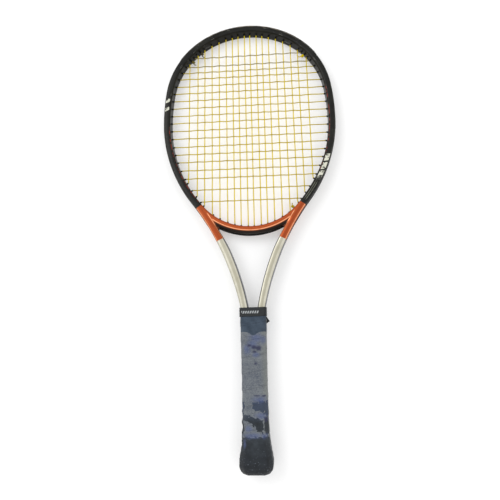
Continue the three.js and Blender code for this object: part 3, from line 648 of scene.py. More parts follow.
class FramePaint(Look):
    """A black hoop, a copper throat and silver shafts, with their lines and their wear, and painted
    highlights, reflections and shade.
    """

    def __init__(self):
        super().__init__("frame_paint", Coat_Weight=0.06, Coat_Roughness=0.1, Specular_IOR_Level=0.12)
        self.s, self.u = self.attr("rail_s"), self.attr("rail_u")
        self.z = self.axis(2)
        self.away, self.depth = self.size(self.s), self.size(self.z)
        self.inner_gap = self.attr("inner_gap")
        self.on_bridge, self.bridge_u = self.attr("on_bridge"), self.attr("bridge_u")
        self.on_tube = self.math("SUBTRACT", 1.0, self.on_bridge)
        self.on_right = self.span(self.s, -MIDDLE_EDGE, MIDDLE_EDGE)
        # Painted shade on the bridge's underside, which faces the handle.
        self.shaded_underside = self.times(self.on_bridge, self.span(self.bridge_u, *BRIDGE_SHADED_UNDERSIDE, smooth=True))
        # Painted shade on the tube's side walls, which each paint below darkens.
        self.wall = self.times(self.span(self.depth, *WALL_DEPTH, 1.0, 0.0, smooth=True), self.on_tube)
        self.front = self.span(self.depth, *FRONT_DEPTH)
        self.ragged = self.plus(self.away, self.patches(900, 2, 0, 1, out=(-0.0004, 0.0004)))
        self.grime, self.fine = self.noise(38, 5, 0.6), self.noise(420, 4, 0.6)
        self.scratches = self.scratched()
        self.paint()

    def past(self, start):
        """1 along the tube from start on, with a ragged edge."""
        return self.span(self.ragged, start - PAINT_EDGE, start + PAINT_EDGE)

    def scratched(self):
        fine_lines = self.span(self.drawn_out(2, 55, 1500, 900), 0.7, 0.74)
        return self.times(fine_lines, self.span(self.away, *SCRATCHED_ALONG, 1.0, 0.15))

    def drawn_out(self, detail, along, across, deep, rough=0.55):
        """A noise that is finer across the tube than along it."""
        scaled = [self.times(self.away, along), self.times(self.u, across), self.times(self.z, deep)]
        return self.noise(1.0, detail, rough, vector=self.vector(*scaled))

    def copper_paint(self):
        colour = self.tones(self.noise(34, 3), (142, 62, 25), (156, 70, 31))
        # Painted dark reflection band down the middle of the copper front face.
        dark_reflection = self.between(self.u, *COPPER_DARK_REFLECTION, 0.0016)
        # Painted shade in the recessed web beside the bridge.
        web_shade = self.times(self.on_bridge, self.span(self.bridge_u, *BRIDGE_WEB_SHADE, smooth=True))
        return self.coats(
            colour,
            (self.patches(2200, 2, 0.35, 0.75), (178, 84, 44)),
            (self.times(dark_reflection, 0.4), (112, 46, 26)),
            # Painted shade on the bridge's underside.
            (self.shaded_underside, (44, 36, 31)),
            (web_shade, (122, 58, 36)),
            # Painted shade on the copper's side walls.
            (self.wall, (40, 28, 24)),
            # Painted highlight lines on the copper's edges and the bridge's ridge.
            (self.copper_highlight_lines(), (250, 176, 130)),
        )

    def copper_highlight_lines(self):
        """Painted highlight lines along the copper part's edges and the bridge's ridge, broken up in
        patches.
        """
        outer = self.between(self.u, *OUTER_HIGHLIGHT, 0.0003)
        inner = self.between(self.inner_gap, *INNER_HIGHLIGHT, 0.0003)
        inner = self.times(inner, self.span(self.away, *INNER_HIGHLIGHT_ALONG))
        ridge = self.times(self.between(self.bridge_u, *RIDGE_HIGHLIGHT, 0.0002), self.on_bridge)
        lines = self.most(self.times(self.most(outer, inner), self.on_tube), ridge)
        # Patches break up the painted highlights.
        wear = self.patches(150, 3, 0.25, 0.5, out=(0.45, 0.9))
        return self.times(lines, self.span(self.depth, *LINE_DEPTH), wear)

    def silver_paint(self):
        """The right shaft has a painted dark shade line on both edges, and the left one a painted grey
        shade line on its inner edge.
        """
        colour = self.tones(self.patches(45, 4, 0.3, 0.7), (178, 174, 156), (204, 201, 186))
        streaks = self.span(self.drawn_out(5, 30, 700, 1, 0.65), 0.55, 0.75)
        colour = self.coats(colour, (streaks, (160, 156, 136)))
        # Painted light and shade on the side walls: pale on the left shaft, dark on the right.
        colour = self.mix(self.wall, colour, self.tones(self.on_right, (172, 170, 158), (58, 60, 68)))
        # Painted shade lines along the silver's edges.
        inner_shade_line = self.span(self.inner_gap, *INNER_SHADE_LINE, 1.0, 0.0)
        outer_shade_line = self.times(self.span(self.u, *OUTER_SHADE_LINE), self.on_right)
        # Painted dark reflection band down the middle of the silver front face.
        dark_reflection = self.between(self.u, *SILVER_DARK_REFLECTION, 0.0009)
        return self.coats(
            colour,
            (self.most(inner_shade_line, outer_shade_line), (96, 97, 104)),
            (self.times(dark_reflection, 0.5), (140, 135, 114)),
        )

    def black_paint(self):
        colour = self.tones(self.span(self.grime, 0.3, 0.7), (15, 15, 13), (33, 33, 29))
        # Painted highlight along the hoop's outer edge, in patches.
        rim = self.times(self.between(self.u, *RIM_HIGHLIGHT, 0.0004), self.patches(95, 4, 0.4, 0.6, out=(0.1, 0.6)))
        scraped_tip = self.times(
            self.between(self.u, *TIP_SCRAPE, 0.0005),
            self.span(self.away, *TIP_ALONG, 1.0, 0.0),
            self.patches(110, 5, 0.42, 0.56, 0.65),
            0.8,
        )
        return self.coats(
            colour,
            # Painted shade on the hoop's side walls.
            (self.wall, (6, 7, 4)),
            (self.pinstripes(), (126, 50, 42)),
            (rim, (78, 78, 72)),
            (scraped_tip, (132, 121, 102)),
            (self.bars(), (206, 206, 190)),
            (self.pale_pair(), (150, 152, 134)),
            (self.scratches, (150, 150, 142)),
        )

    def pinstripes(self):
        along = self.most(*[self.between(self.s, *stretch, 0.003) for stretch in PINSTRIPES_ALONG])
        return self.times(self.between(self.u, *PINSTRIPE, 0.0002), along, self.patches(190, 4, 0.46, 0.56))

    def bars(self):
        """Two worn rows of plain slanted bars on the front face."""
        slanted = self.plus(self.s, self.times(self.u, BAR_SLANT))
        phase = self.math("FRACT", self.math("DIVIDE", slanted, BAR_PERIOD))
        rows = []
        for low, high, filled in BARS_ALONG:
            bar = self.span(phase, filled, filled + 0.02, 1.0, 0.0)
            rows.append(self.times(bar, self.between(slanted, low, high, 0.0002)))
        worn = self.patches(230, 4, 0.45, 0.48, 0.7)
        return self.times(self.most(*rows), self.between(self.u, *BAR_ROW, 0.0002), self.front, worn)

    def pale_pair(self):
        """Two pale lines side by side."""
        pair = self.most(*[self.between(self.u, *line, 0.0001) for line in PALE_PAIR])
        worn = self.patches(170, 3, 0.35, 0.5, out=(0.2, 0.8))
        return self.times(pair, self.front, self.between(self.s, *PAIR_ALONG, 0.002), worn)

    def paint(self):
        copper = self.most(self.past(COPPER_FROM), self.on_bridge)
        silver = self.times(self.past(SILVER_FROM), self.on_tube)
        colour = self.mix(copper, self.black_paint(), self.copper_paint())
        self.colour(self.mix(silver, colour, self.silver_paint()))
        dull = self.most(self.shaded_underside, self.wall)
        metal = self.times(copper, self.span(dull, 0, 1, 0.55, 0.15))
        self.set("Metallic", self.blend(silver, metal, 0.5))
        gloss = self.span(self.fine, NOISE_LOW, NOISE_HIGH, 0.24, 0.38)
        self.set("Roughness", self.plus(gloss, self.span(self.grime, 0.4, 0.8, 0.0, 0.12)))
        self.bump((self.fine, 0.00002), (self.scratches, -0.00003), (copper, -0.00003))

    def blend(self, share_of_b, a, b):
        n = self.node("ShaderNodeMix", data_type="FLOAT")
        for index, value in zip((0, 2, 3), (share_of_b, a, b)):
            self.put(n.inputs[index], value)
        return n.outputs[0]


# ---------------------------------------------------------------- guard and grommet strips

THROAT_WALL, STRIP_WALL = 0.0011, 0.0004  # how far the strips' side walls stand out of the frame
STRIP_STEP = 0.0025
BARREL_FOOT, BARREL_SIDES = 0.0021, 14
NEAR_BRIDGE = 0.4  # from here along the tube a barrel is longer, to come out of the web beside the bridge
CLEAR_OF_BRIDGE = 0.0942  # and reaches this near to the arc's centre
GUARD_FADE = 0.012


def barrel(parts, hole):
    """A grommet barrel: a bored, rounded tube from the groove to inside the head."""
    mouth = hole.mouth
    if hole.rail is HOOP and abs(hole.distance) > NEAR_BRIDGE:
        while math.dist(hole.at_depth(mouth), (0, BRIDGE_CENTRE_Y)) > CLEAR_OF_BRIDGE:
            mouth -= 0.0002
    start = Vector((*hole.at_depth(hole.rail["half"] - BARREL_FOOT), 0))
    axis = Vector((*hole.at_depth(mouth), 0)) - start
    length = axis.length
    axis.normalize()
    side = Vector((-axis.y, axis.x, 0))
    up = Vector((0, 0, 1))
    profile = [
        (0.0, BORE_RADIUS),
        (0.0, BARREL_RADIUS),
        (length * 0.6, BARREL_RADIUS),
        (length - 0.0007, BARREL_RADIUS * 0.97),
        (length - 0.0002, BARREL_RADIUS * 0.88),
        (length, BORE_RADIUS * 1.22),
        (length - 0.0001, BORE_RADIUS * 1.02),
        (length - 0.0006, BORE_RADIUS),
    ]
    angles = np.linspace(0, 2 * math.pi, BARREL_SIDES, endpoint=False)
    turns = [side * math.cos(a) + up * math.sin(a) for a in angles]
    rings = [[start + axis * along + turn * radius for turn in turns] for along, radius in profile]
    parts.rings(rings, loop=True)


def strip_outline(rail, proud):
    """A base in the groove with a thin wall at each side of the strings."""
    half = rail["half"]
    top = half + proud
    return mirrored([
        (half - STRIP_TOP, 0.0023),
        (top - 0.0003, 0.0024),
        (top, 0.0027),
        (top, 0.0033),
        (top - 0.0003, 0.0036),
        (half - 0.0008, 0.0034),
        (half - STRIP_FLOOR, STRIP_HALF),
    ])  # fmt: skip


def guard_outline(distance):
    """Two worn brims beside the string channel, sinking into the groove at the guard's ends."""
    seat = HOOP_HALF + 0.0003
    fade = share(GUARD_REACH - abs(distance), 0.0, GUARD_FADE)
    wave = 0.00012 * math.sin(distance * 410) + 0.00008 * math.sin(distance * 1130 + 1)
    crown = seat + 0.0004 + (GUARD_PROUD - 0.0007) * fade
    edge = 0.0055 + 0.0026 * fade + wave
    return mirrored([
        (HOOP_HALF - STRIP_TOP, 0.0024),
        (crown - 0.0003, 0.0024),
        (crown, 0.0027),
        (crown, edge - 0.0012),
        (crown - 0.0004, edge - 0.0003),
        (seat, edge),
        (seat, 0.00395),
        (HOOP_HALF - STRIP_FLOOR, STRIP_HALF),
    ])  # fmt: skip


def build_strip(name, rail, low, high, outline_at):
    parts = Parts()
    stations = np.linspace(low, high, int((high - low) / STRIP_STEP))
    parts.rings(carry(rail["at"], stations, outline_at))
    for hole in HOLES:
        if hole.rail is rail and low < hole.exit_at < high:
            barrel(parts, hole)
    return parts.make(name)


GUARD_EDGE, GUARD_TIP = (0.0067, 0.0079), (0.05, 0.09)  # the scraped edge's depth, and how far from the tip


def moulded_look(name, scuffs):
    look = Look(name, Specular_IOR_Level=0.12)
    rubs = look.noise(190, 6, 0.7)
    lines = look.span(look.noise(1.0, 3, vector=look.stretch((50, 1100, 900), 4)), 0.6, 0.66)
    # The guard's front and back edges are scraped to a paler line at the tip of the head.
    edge = look.between(look.size(look.axis(2)), *GUARD_EDGE, 0.0003)
    tip = look.span(look.size(look.axis(0)), *GUARD_TIP, 1.0, 0.25)
    scraped = look.times(edge, tip, look.patches(130, 5, 0.38, 0.55, 0.65, out=(0.1, 1.0)))
    look.colour(
        look.tones(look.noise(70, 5), (9, 9, 7), (21, 21, 17)),
        (look.times(lines, scuffs), (150, 150, 142)),
        (look.times(look.span(rubs, 0.52, 0.68), 0.7 * scuffs), (66, 64, 56)),
        (look.times(scraped, 0.85 * scuffs), (134, 122, 102)),
    )
    look.roughness(240, 4, 0.42, 0.7)
    look.bump((look.noise(1400, 3), 0.00004), (rubs, 0.00008 * scuffs + 0.00002))
    return look


# ---------------------------------------------------------------- strings

MAIN_RADIUS, CROSS_RADIUS = 0.00082, 0.00079
WEAVE = (MAIN_RADIUS + CROSS_RADIUS) / 2 + 0.00001
NOTCH_REACH, WEAR_GAP = 0.0012, 0.0004  # how far from a crossing a string is still notched
RUN_SAMPLES = 7
STRING_SIDES = 8
LOOP_EASE, LOOP_STEP = 0.003, 0.004
TURN_PARTS, TAIL_PARTS = 12, 5


def weave_side(i, j):
    return -1 if (i + j) % 2 else 1


def meet(main, cross):
    """Whether a main and a cross string cross inside the head."""
    x, top, bottom = main
    y, _, right = cross
    inside = bottom.bend[1] + CROSSING_ROOM < y < top.bend[1] - CROSSING_ROOM
    return inside and abs(x) < right.bend[0] - CROSSING_ROOM


def main_crossings(i):
    x = MAINS[i][0]
    return [(x, row[0], weave_side(i, j) * WEAVE) for j, row in enumerate(CROSSES) if meet(MAINS[i], row)]


def cross_crossings(j):
    y = CROSSES[j][0]
    return [(row[0], y, -weave_side(i, j) * WEAVE) for i, row in enumerate(MAINS) if meet(row, CROSSES[j])]


def run_points(ends, crossings):
    """Points of one string run, rising and dipping smoothly, with how close each is to a crossing."""
    knots = [(*ends[0], 0.0), *crossings, (*ends[1], 0.0)]
    points, notch = [], []
    for a, b in zip(knots, knots[1:]):
        for k in range(RUN_SAMPLES):
            t = k / RUN_SAMPLES
            rise = (1 - math.cos(math.pi * t)) / 2
            p = (a[0] + (b[0] - a[0]) * t, a[1] + (b[1] - a[1]) * t, a[2] + (b[2] - a[2]) * rise)
            gaps = [math.dist(p[:2], knot[:2]) for knot in (a, b) if knot[2]]
            points.append(p)
            notch.append(math.exp(-((min(gaps, default=1) / NOTCH_REACH) ** 2)))
    return [*points, knots[-1]], [*notch, 0.0]


def laid_runs(rows, crossings_of):
    """One string's runs in order: points, wear, first hole and last hole. Every second run comes back."""
    runs = []
    for k, (_, first, last) in enumerate(rows):
        points, wear = run_points((first.bend, last.bend), crossings_of(k))
        if k % 2:
            points, wear, first, last = points[::-1], wear[::-1], last, first
        runs.append((points, wear, first, last))
    return runs


def loop_points(start, end, z):
    """The loop in the groove between two holes, as points."""
    rail = start.rail
    across = rail["half"] - LOOP_DEPTH
    way = math.copysign(1, end.exit_at - start.exit_at)
    length = abs(end.exit_at - start.exit_at)
    ease = min(LOOP_EASE, length / 3)
    parts = max(2, math.ceil((length - 2 * ease) / LOOP_STEP))
    points = [(*start.exit, 0.0)]
    for k in range(parts + 1):
        s = start.exit_at + way * (ease + (length - 2 * ease) * k / parts)
        points.append((*beside(rail["at"], s, across), z))
    return [*points, (*end.exit, 0.0)]


def eased(points, fixed, rounds=2, step=0.001):
    """Resamples long spans outside the woven runs and rounds their corners."""
    out, free = [], []
    for (a, fa), (b, fb) in zip(zip(points, fixed), zip(points[1:], fixed[1:])):
        out.append(a)
        free.append(not fa)
        gap = math.dist(a, b)
        if not (fa and fb) and gap > 1.5 * step:
            extra = int(gap / step)
            for k in range(1, extra + 1):
                out.append(tuple(np.array(a) + (np.array(b) - np.array(a)) * k / (extra + 1)))
                free.append(True)
    out.append(points[-1])
    free.append(False)
    co, free = np.array(out), np.array(free)
    for _ in range(rounds):
        soft = co.copy()
        soft[1:-1] = 0.25 * co[:-2] + 0.5 * co[1:-1] + 0.25 * co[2:]
        co[free] = soft[free]
    return co


def tube_rings(co, radius):
    """Rings of a round tube along points, carried without twist."""
    ahead = np.gradient(co, axis=0)
    ahead /= np.linalg.norm(ahead, axis=1)[:, None]
    side = np.cross(ahead[0], (0, 0, 1.0))
    angles = np.linspace(0, 2 * math.pi, STRING_SIDES, endpoint=False)
    rings = []
    for p, d in zip(co, ahead):
        side = side - d * np.dot(side, d)
        side /= np.linalg.norm(side)
        up = np.cross(d, side)
        rings.append([p + radius * (side * math.cos(a) + up * math.sin(a)) for a in angles])
    return rings


def knot_tail(hole, radius, lean, turns=2.5, tail=0.006):
    """A tie-off: a few tight turns round the string just inside its hole, and a short cut end."""
    x, y = hole.way
    axis = np.array([-x, -y, 0.0])
    side = np.array([-axis[1], axis[0], 0.0])
    up = np.array([0, 0, 1.0])
    start = np.array([*hole.along(0), 0.0]) + axis * 0.0002
    around, climb = 2.05 * radius, 2.1 * radius
    points = []
    for k in range(int(turns * TURN_PARTS) + 1):
        a = 2 * math.pi * k / TURN_PARTS
        turned = side * math.cos(a) + up * math.sin(a)
        points.append(start + axis * climb * k / TURN_PARTS + around * turned)
    away = points[-1] - points[-2]
    away /= np.linalg.norm(away)
    out = away * 0.6 + side * lean + axis * 0.3
    out /= np.linalg.norm(out)
    for k in range(1, TAIL_PARTS + 1):
        t = k / TAIL_PARTS
        points.append(points[-1] + (away * (1 - t) + out * t) * tail / TAIL_PARTS)
    return np.array(points)


def build_string(name, runs, ties, z, radius, lean):
    """One continuous string: a tie-off, runs joined by loops in the groove, and another tie-off."""
    points, fixed, notch = [], [], []

    def extend(more, is_run, values=None):
        points.extend(more)
        fixed.extend([is_run] * len(more))
        notch.extend(values or [0.0] * len(more))

    extend([(*ties[0].bend, 0.0), *loop_points(ties[0], runs[0][2], z)], False)
    following = [run[2] for run in runs[1:]] + [ties[1]]
    for (run, wear, _, last), first in zip(runs, following):
        extend(run, True, wear)
        extend(loop_points(last, first, z), False)
    extend([(*ties[1].bend, 0.0)], False)
    co = eased(points, fixed)
    parts = Parts()
    wear = [notch[i] if gap < WEAR_GAP else 0.0 for i, gap in nearest(points, co)]
    parts.rings(tube_rings(co, radius), notch=np.repeat(wear, STRING_SIDES), soil=0.0)
    for hole, side in zip(ties, (1, -1)):
        soil = 1.0 if hole.distance < 0 else 0.0  # the knots on the left have gone dark
        parts.rings(tube_rings(knot_tail(hole, radius, side * lean), radius), notch=0.0, soil=soil)
        in_the_hole = np.array([[*hole.along(-t), 0.0] for t in np.linspace(-0.0015, 0.0035, 8)])
        parts.rings(tube_rings(in_the_hole, radius), notch=0.0, soil=soil)
    return parts.make(name)


GREYED_ABOVE = (0.6, 0.614)


def string_look(name, light, deep, dirt, greyed):
    look = Look(name, Specular_IOR_Level=0.15)
    notch = look.attr("notch")
    # The top crosses have greyed most, and the knots on the left are the dirtiest.
    greying = look.times(look.span(look.axis(1), *GREYED_ABOVE, smooth=True), greyed)
    look.colour(
        look.tones(look.patches(55, 4, 0.3, 0.7, 0.6), light, deep),
        (look.times(look.patches(420, 4, 0.58, 0.7, 0.6), 0.25), dirt),
        (greying, (128, 120, 88)),
        (look.times(notch, 0.3), dirt),
        (look.times(look.attr("soil"), 0.85), (52, 48, 40)),
    )
    look.roughness(700, 3, 0.26, 0.48)
    look.bump((look.noise(2600, 2), 0.00002), (notch, -0.00006))
    return look


# ---------------------------------------------------------------- handle

# Height, half width, half depth and corner cut of the finished grip, in millimetres.
GRIP_ROWS = np.array([
    [1.2, 18.6, 16, 6], [6.4, 22.7, 20.2, 7.5], [13.7, 23.3, 20.9, 7.8], [21, 22.4, 20, 7.5],
    [28.4, 20.9, 18.6, 7.2], [36, 19.6, 17.4, 6.8], [46, 19, 16.9, 6.6], [65, 18.3, 16.3, 6.4],
    [104, 18.05, 16, 6.4], [144, 18.3, 16.1, 6.4], [176, 18.7, 16.3, 6.4], [190, 18.9, 15.2, 5.2],
    [207, 18.9, 12.9, 2.2],
]) * MM  # fmt: skip
GRIP_LOW, GRIP_HIGH = GRIP_ROWS[0, 0], GRIP_ROWS[-1, 0]
BLEND_HALF = 0.004  # rows are averaged over this height each way
END_FADE = 0.004  # near the butt the grip is less blended and the wrap lies flatter
OVERGRIP_THICK = 0.0008
GRIP_STEP, GRIP_INNER_ROWS = 0.0007, 24
WRAP_PITCH = 0.0215  # the overgrip climbs this far each turn
WRAP_STEP, WRAP_RAMP = 0.0004, 0.035
FOLD_DEPTH, FOLD_WIDTH, FOLD_AT = 0.0001, 0.0007, 0.02
TIGHT_PITCH, TIGHT_WRAP, TIGHT_AT = 0.0074, 0.00028, (0.052, 0.045)  # the first turns lie closer
COLUMNS = 176
OCTAGON_AROUND = 3.4  # an octagon's way round, over the sum of its half width and half depth
WORN_LOW, WORN_LOW_FADE = 0.0475, 0.0035
WORN_HIGH, NAVY_LOW, NAVY_FADE = 0.183, 0.1828, 0.004


def grip_size(y):
    """Half width, half depth and corner cut of the finished grip, smoothed between the rows."""
    spread = min(1, (y - GRIP_LOW) / END_FADE + 0.05)
    ys = np.clip(y + np.linspace(-BLEND_HALF, BLEND_HALF, 9) * spread, GRIP_LOW, GRIP_HIGH)
    return [float(np.mean(np.interp(ys, GRIP_ROWS[:, 0], GRIP_ROWS[:, k]))) for k in (1, 2, 3)]


def octagon_ring(half_x, half_z, cut, rounding=2.0):
    """A rounded octagon, from the front middle round by +X: points, outward normals, and the share of the
    way round."""
    x, z = half_x - cut, half_z - cut
    quarter = [(0, half_z), (x, half_z), (half_x, z)]
    corners = quarter + [(a, -b) for a, b in reversed(quarter)]
    corners = np.array(corners + [(-a, b) for a, b in reversed(corners[:-1])])
    lengths = np.hypot(*np.diff(corners, axis=0).T)
    total = np.concatenate([[0], np.cumsum(lengths)])
    t = np.linspace(0, total[-1], COLUMNS, endpoint=False)
    ring = np.stack([np.interp(t, total, corners[:, k]) for k in (0, 1)], axis=1)
    reach = np.arange(-8, 9)
    spacing = total[-1] / COLUMNS / MM
    weights = np.exp(-((reach * spacing / rounding) ** 2))
    weights /= weights.sum()
    ring = sum(w * np.roll(ring, k, axis=0) for w, k in zip(weights, reach))
    along = np.roll(ring, -1, axis=0) - np.roll(ring, 1, axis=0)
    normal = np.stack([-along[:, 1], along[:, 0]], axis=1)
    normal /= np.linalg.norm(normal, axis=1)[:, None]
    normal *= np.sign(np.sum(normal * ring, axis=1))[:, None]
    return ring, normal, t / total[-1]


# Dark patches that are left of the overgrip's skin, and stains: [way round from the front middle, Y, half
# width, half height], in millimetres. The worn part between them is lighter.
DARK_PATCHES = [
    (2.5, 84.5, 6, 6.5), (10.5, 84, 9, 8.5), (18.5, 82, 7, 10), (-17.5, 85, 3.4, 5), (-20.5, 76, 5, 9),
    (-14, 70.5, 7.5, 5), (-6, 68, 7, 4), (1.5, 65, 7, 6.5), (6.5, 60, 6, 9), (17, 60, 6.5, 14),
    (-19, 58, 3.4, 12), (34, 92, 7, 10), (42, 66, 9, 12), (56, 120, 6, 9), (62, 84, 8, 9),
    (-38, 88, 8, 7), (-48, 62, 7, 10), (-57, 108, 5, 6), (-30, 64, 7, 6),
]  # fmt: skip
INK_STAINS = [
    (0.5, 162, 5, 3.6), (6.5, 160.5, 5, 4.6), (2.5, 140.3, 3, 2.6), (16.5, 67.5, 5.5, 4.4),
    (-5.5, 164.5, 4.5, 3), (3, 98.4, 5.4, 1.3), (12.5, 98, 4.8, 1.3), (1, 156, 4, 2.4),
]  # fmt: skip
BLUE_STAINS = [
    (3, 174, 12, 8), (-9, 159, 7, 9), (14, 172, 7, 7), (7, 93, 13, 6), (9, 73, 11, 5), (3, 152, 6, 4),
    (-5, 48.5, 14, 4), (12, 48, 6, 4), (-15, 38, 3.4, 7), (-2, 167, 9, 8), (-9, 57, 6, 5),
]  # fmt: skip
# Hollows and, where the depth is below zero, lumps along both edges: [way round, Y, depth] in millimetres.
EDGE_DENTS = [
    (-19, 84, 0.5), (-19.5, 78, -0.7), (-20, 71, 0.5), (-19.5, 64.5, -0.7), (-20, 57.5, 0.5),
    (-19.5, 51, -0.6), (19, 66, 0.35), (19, 74, -0.4),
]  # fmt: skip
DENT_WIDTH, DENT_HEIGHT = 0.0045, 0.0022
RIPPLES = 14


def blob_field(way, y, blobs):
    """How deep each point lies in the nearest blob: 1 at its middle and 0 at its rim."""
    field = np.full(way.shape, -1.0)
    for bw, by, rw, ry in blobs:
        field = np.maximum(field, 1 - np.hypot((way - bw * MM) / (rw * MM), (y - by * MM) / (ry * MM)))
    return field


def dents(way, y):
    """How far the edges' hollows go in, less their lumps."""
    total = 0
    for w, h, depth in EDGE_DENTS:
        gap = ((way - w * MM) / DENT_WIDTH) ** 2 + ((y - h * MM) / DENT_HEIGHT) ** 2
        total = total + depth * MM * np.exp(-gap)
    return total


def ripple(y, way, seed):
    """A smooth, seeded unevenness over the grip, about -1 to 1."""
    rng = np.random.default_rng(seed)
    total = np.zeros_like(y)
    for _ in range(RIPPLES):
        k_y, k_w = rng.uniform(60, 420), rng.uniform(-160, 160)
        total += np.sin(k_y * y + k_w * way + rng.uniform(0, 6.28)) / 5
    return total


def flat_ring(ring, y):
    return np.stack([ring[:, 0], np.full(COLUMNS, y), ring[:, 1]], axis=1)


def wrap_ring(y):
    """One ring of the overgrip's outside, its points' way round, and their place in a turn of the wrap."""
    half_x, half_z, cut = grip_size(y)
    ring, normal, part = octagon_ring(half_x, half_z, cut)
    way = np.where(part > 0.5, part - 1, part) * OCTAGON_AROUND * (half_x + half_z)
    phase = (y / WRAP_PITCH - part) % 1.0
    step = WRAP_STEP * (np.clip(phase / WRAP_RAMP, 0, 1) * (1 - phase) - 0.75)
    fold = FOLD_DEPTH * np.exp(-(((phase - FOLD_AT) * WRAP_PITCH / FOLD_WIDTH) ** 2))
    ys = np.full_like(way, y)
    bulge = 0.0001 * ripple(ys, way, 5) + 0.00006 * ripple(ys * 2.7, way * 2.3, 8)
    tight = TIGHT_WRAP * np.abs(np.sin(math.pi * (y / TIGHT_PITCH - part))) * share(y, *TIGHT_AT)
    end = min(1.0, (y - GRIP_LOW) / END_FADE)
    offset = (step - fold + bulge + tight - dents(way, y)) * end - 0.0001
    return flat_ring(ring + normal * offset[:, None], y), way, phase


def inside_ring(y):
    half_x, half_z, cut = grip_size(y)
    ring, _, _ = octagon_ring(half_x - OVERGRIP_THICK, half_z - OVERGRIP_THICK, cut - 0.0004, rounding=1.2)
    return flat_ring(ring, y)


def build_overgrip():
    ys = np.arange(GRIP_LOW, GRIP_HIGH, GRIP_STEP)
    outer, way, phase = [np.array(rows) for rows in zip(*[wrap_ring(y) for y in ys])]
    inner = [inside_ring(y) for y in np.linspace(GRIP_HIGH, GRIP_LOW, GRIP_INNER_ROWS)]
    y = np.repeat(ys[:, None], COLUMNS, axis=1)
    dip = np.exp(-((way / 0.006) ** 2))  # the worn part's upper end dips at the front middle
    worn = np.clip((y - WORN_LOW) / WORN_LOW_FADE, -1, 1) * 0.5 + 0.5
    worn = np.where(y > WORN_HIGH - 0.0042 * dip, 0.0, worn)
    worn = np.minimum(worn, 0.5 - 0.9 * blob_field(way, y, DARK_PATCHES))
    navy = np.clip((y - (NAVY_LOW - 0.0045 * dip)) / NAVY_FADE, -1, 1) * 0.5 + 0.5
    ink, blue = blob_field(way, y, INK_STAINS), blob_field(way, y, BLUE_STAINS)
    fields = {"worn": worn, "navy": navy, "ink": ink, "blue": blue, "wrap": phase}
    pads = np.zeros(len(inner) * COLUMNS)
    parts = Parts()
    padded = {key: np.concatenate([field.ravel(), pads]) for key, field in fields.items()}
    parts.rings(np.concatenate([outer, inner]), loop=True, **padded)
    return parts.make("overgrip_wrap")


# Where the grip's colours change: heights from the first to the second, and the same across.
UPPER_BLUE, DARKENED_FOOT, PALE_SIDE = (0.064, 0.08), (0.045, 0.005), (0.009, 0.016)
SPECKED, FLECKED = (0.0, 0.03), (0.09, 0.07)


def overgrip_look():
    look = Look("overgrip_cloth", Sheen_Weight=0.15, Sheen_Roughness=0.5, Specular_IOR_Level=0.2)
    x, y = look.axis(0), look.axis(1)
    lumps = look.noise(230, 1.5, 0.5, 0.2)
    fibre = look.noise(1.0, 4, 0.7, vector=look.stretch((520, 1500, 520)))
    crease = look.noise(1.0, 5, 0.65, 0.3, vector=look.stretch((60, 900, 60)))
    mottled = look.noise(85, 6, 0.65)
    mottle = look.span(mottled, 0.3, 0.7)

    def stain(name, low, high):
        ragged = look.plus(look.attr(name), look.span(mottled, 0.3, 0.7, -0.35, 0.35))
        return look.span(ragged, low, high, smooth=True)

    lobes = look.span(look.cells(330, "SMOOTH_F1"), 0.1, 0.5, -0.2, 0.24)
    uneven = look.plus(lobes, look.span(lumps, 0.3, 0.7, -0.12, 0.12))
    worn = look.span(look.plus(look.attr("worn"), uneven), 0.48, 0.58)
    dark = look.coats(
        look.tones(mottle, (32, 36, 40), (56, 62, 68)),
        (look.span(y, *UPPER_BLUE, 0.0, 0.8), (60, 70, 88)),
        # Darker towards the bottom.
        (look.span(y, *DARKENED_FOOT, 0.0, 0.7), (26, 28, 31)),
    )
    light = look.coats(
        look.tones(look.span(mottled, 0.32, 0.68), (82, 88, 99), (114, 119, 123)),
        (look.span(fibre, 0.52, 0.7, 0.0, 0.7), (146, 149, 147)),
        (look.span(fibre, 0.48, 0.34, 0.0, 0.6), (62, 66, 76)),
        (look.span(x, *PALE_SIDE, 0.0, 0.3), (146, 148, 136)),
    )
    colour = look.coats(
        look.mix(worn, dark, light),
        (look.times(stain("blue", -0.25, 0.9), 0.6), (76, 88, 128)),
        (look.times(stain("ink", -0.1, 0.75), 0.85), (44, 45, 72)),
    )
    navy = look.span(look.plus(look.attr("navy"), look.span(lumps, 0.3, 0.7, -0.05, 0.05)), 0.48, 0.54)
    colour = look.mix(navy, colour, look.tones(mottle, (46, 57, 70), (68, 80, 94)))
    # Painted shade along the edge where each turn of the wrap overlaps the last.
    seam = look.span(look.attr("wrap"), 0.0, 0.06, 1.0, 0.0, smooth=True)
    specks = look.times(look.span(look.cells(260), 0.16, 0.1), look.span(y, *SPECKED, 0.9, 0.0))
    flecks = look.times(look.span(look.cells(330), 0.13, 0.09), look.span(y, *FLECKED, 0.0, 0.45))
    look.colour(
        colour,
        # Painted shade in the creases.
        (look.span(crease, 0.42, 0.32, 0.0, 0.55), (40, 44, 54)),
        # Painted shade at the wrap's overlap.
        (look.times(seam, 0.6), (38, 42, 54)),
        (look.most(specks, flecks), (136, 144, 158)),
    )
    look.roughness(500, 4, 0.68, 0.92)
    look.bump((crease, 0.0003), (fibre, 0.00022), (look.noise(2400, 3), 0.00006), (worn, -0.00012))
    return look


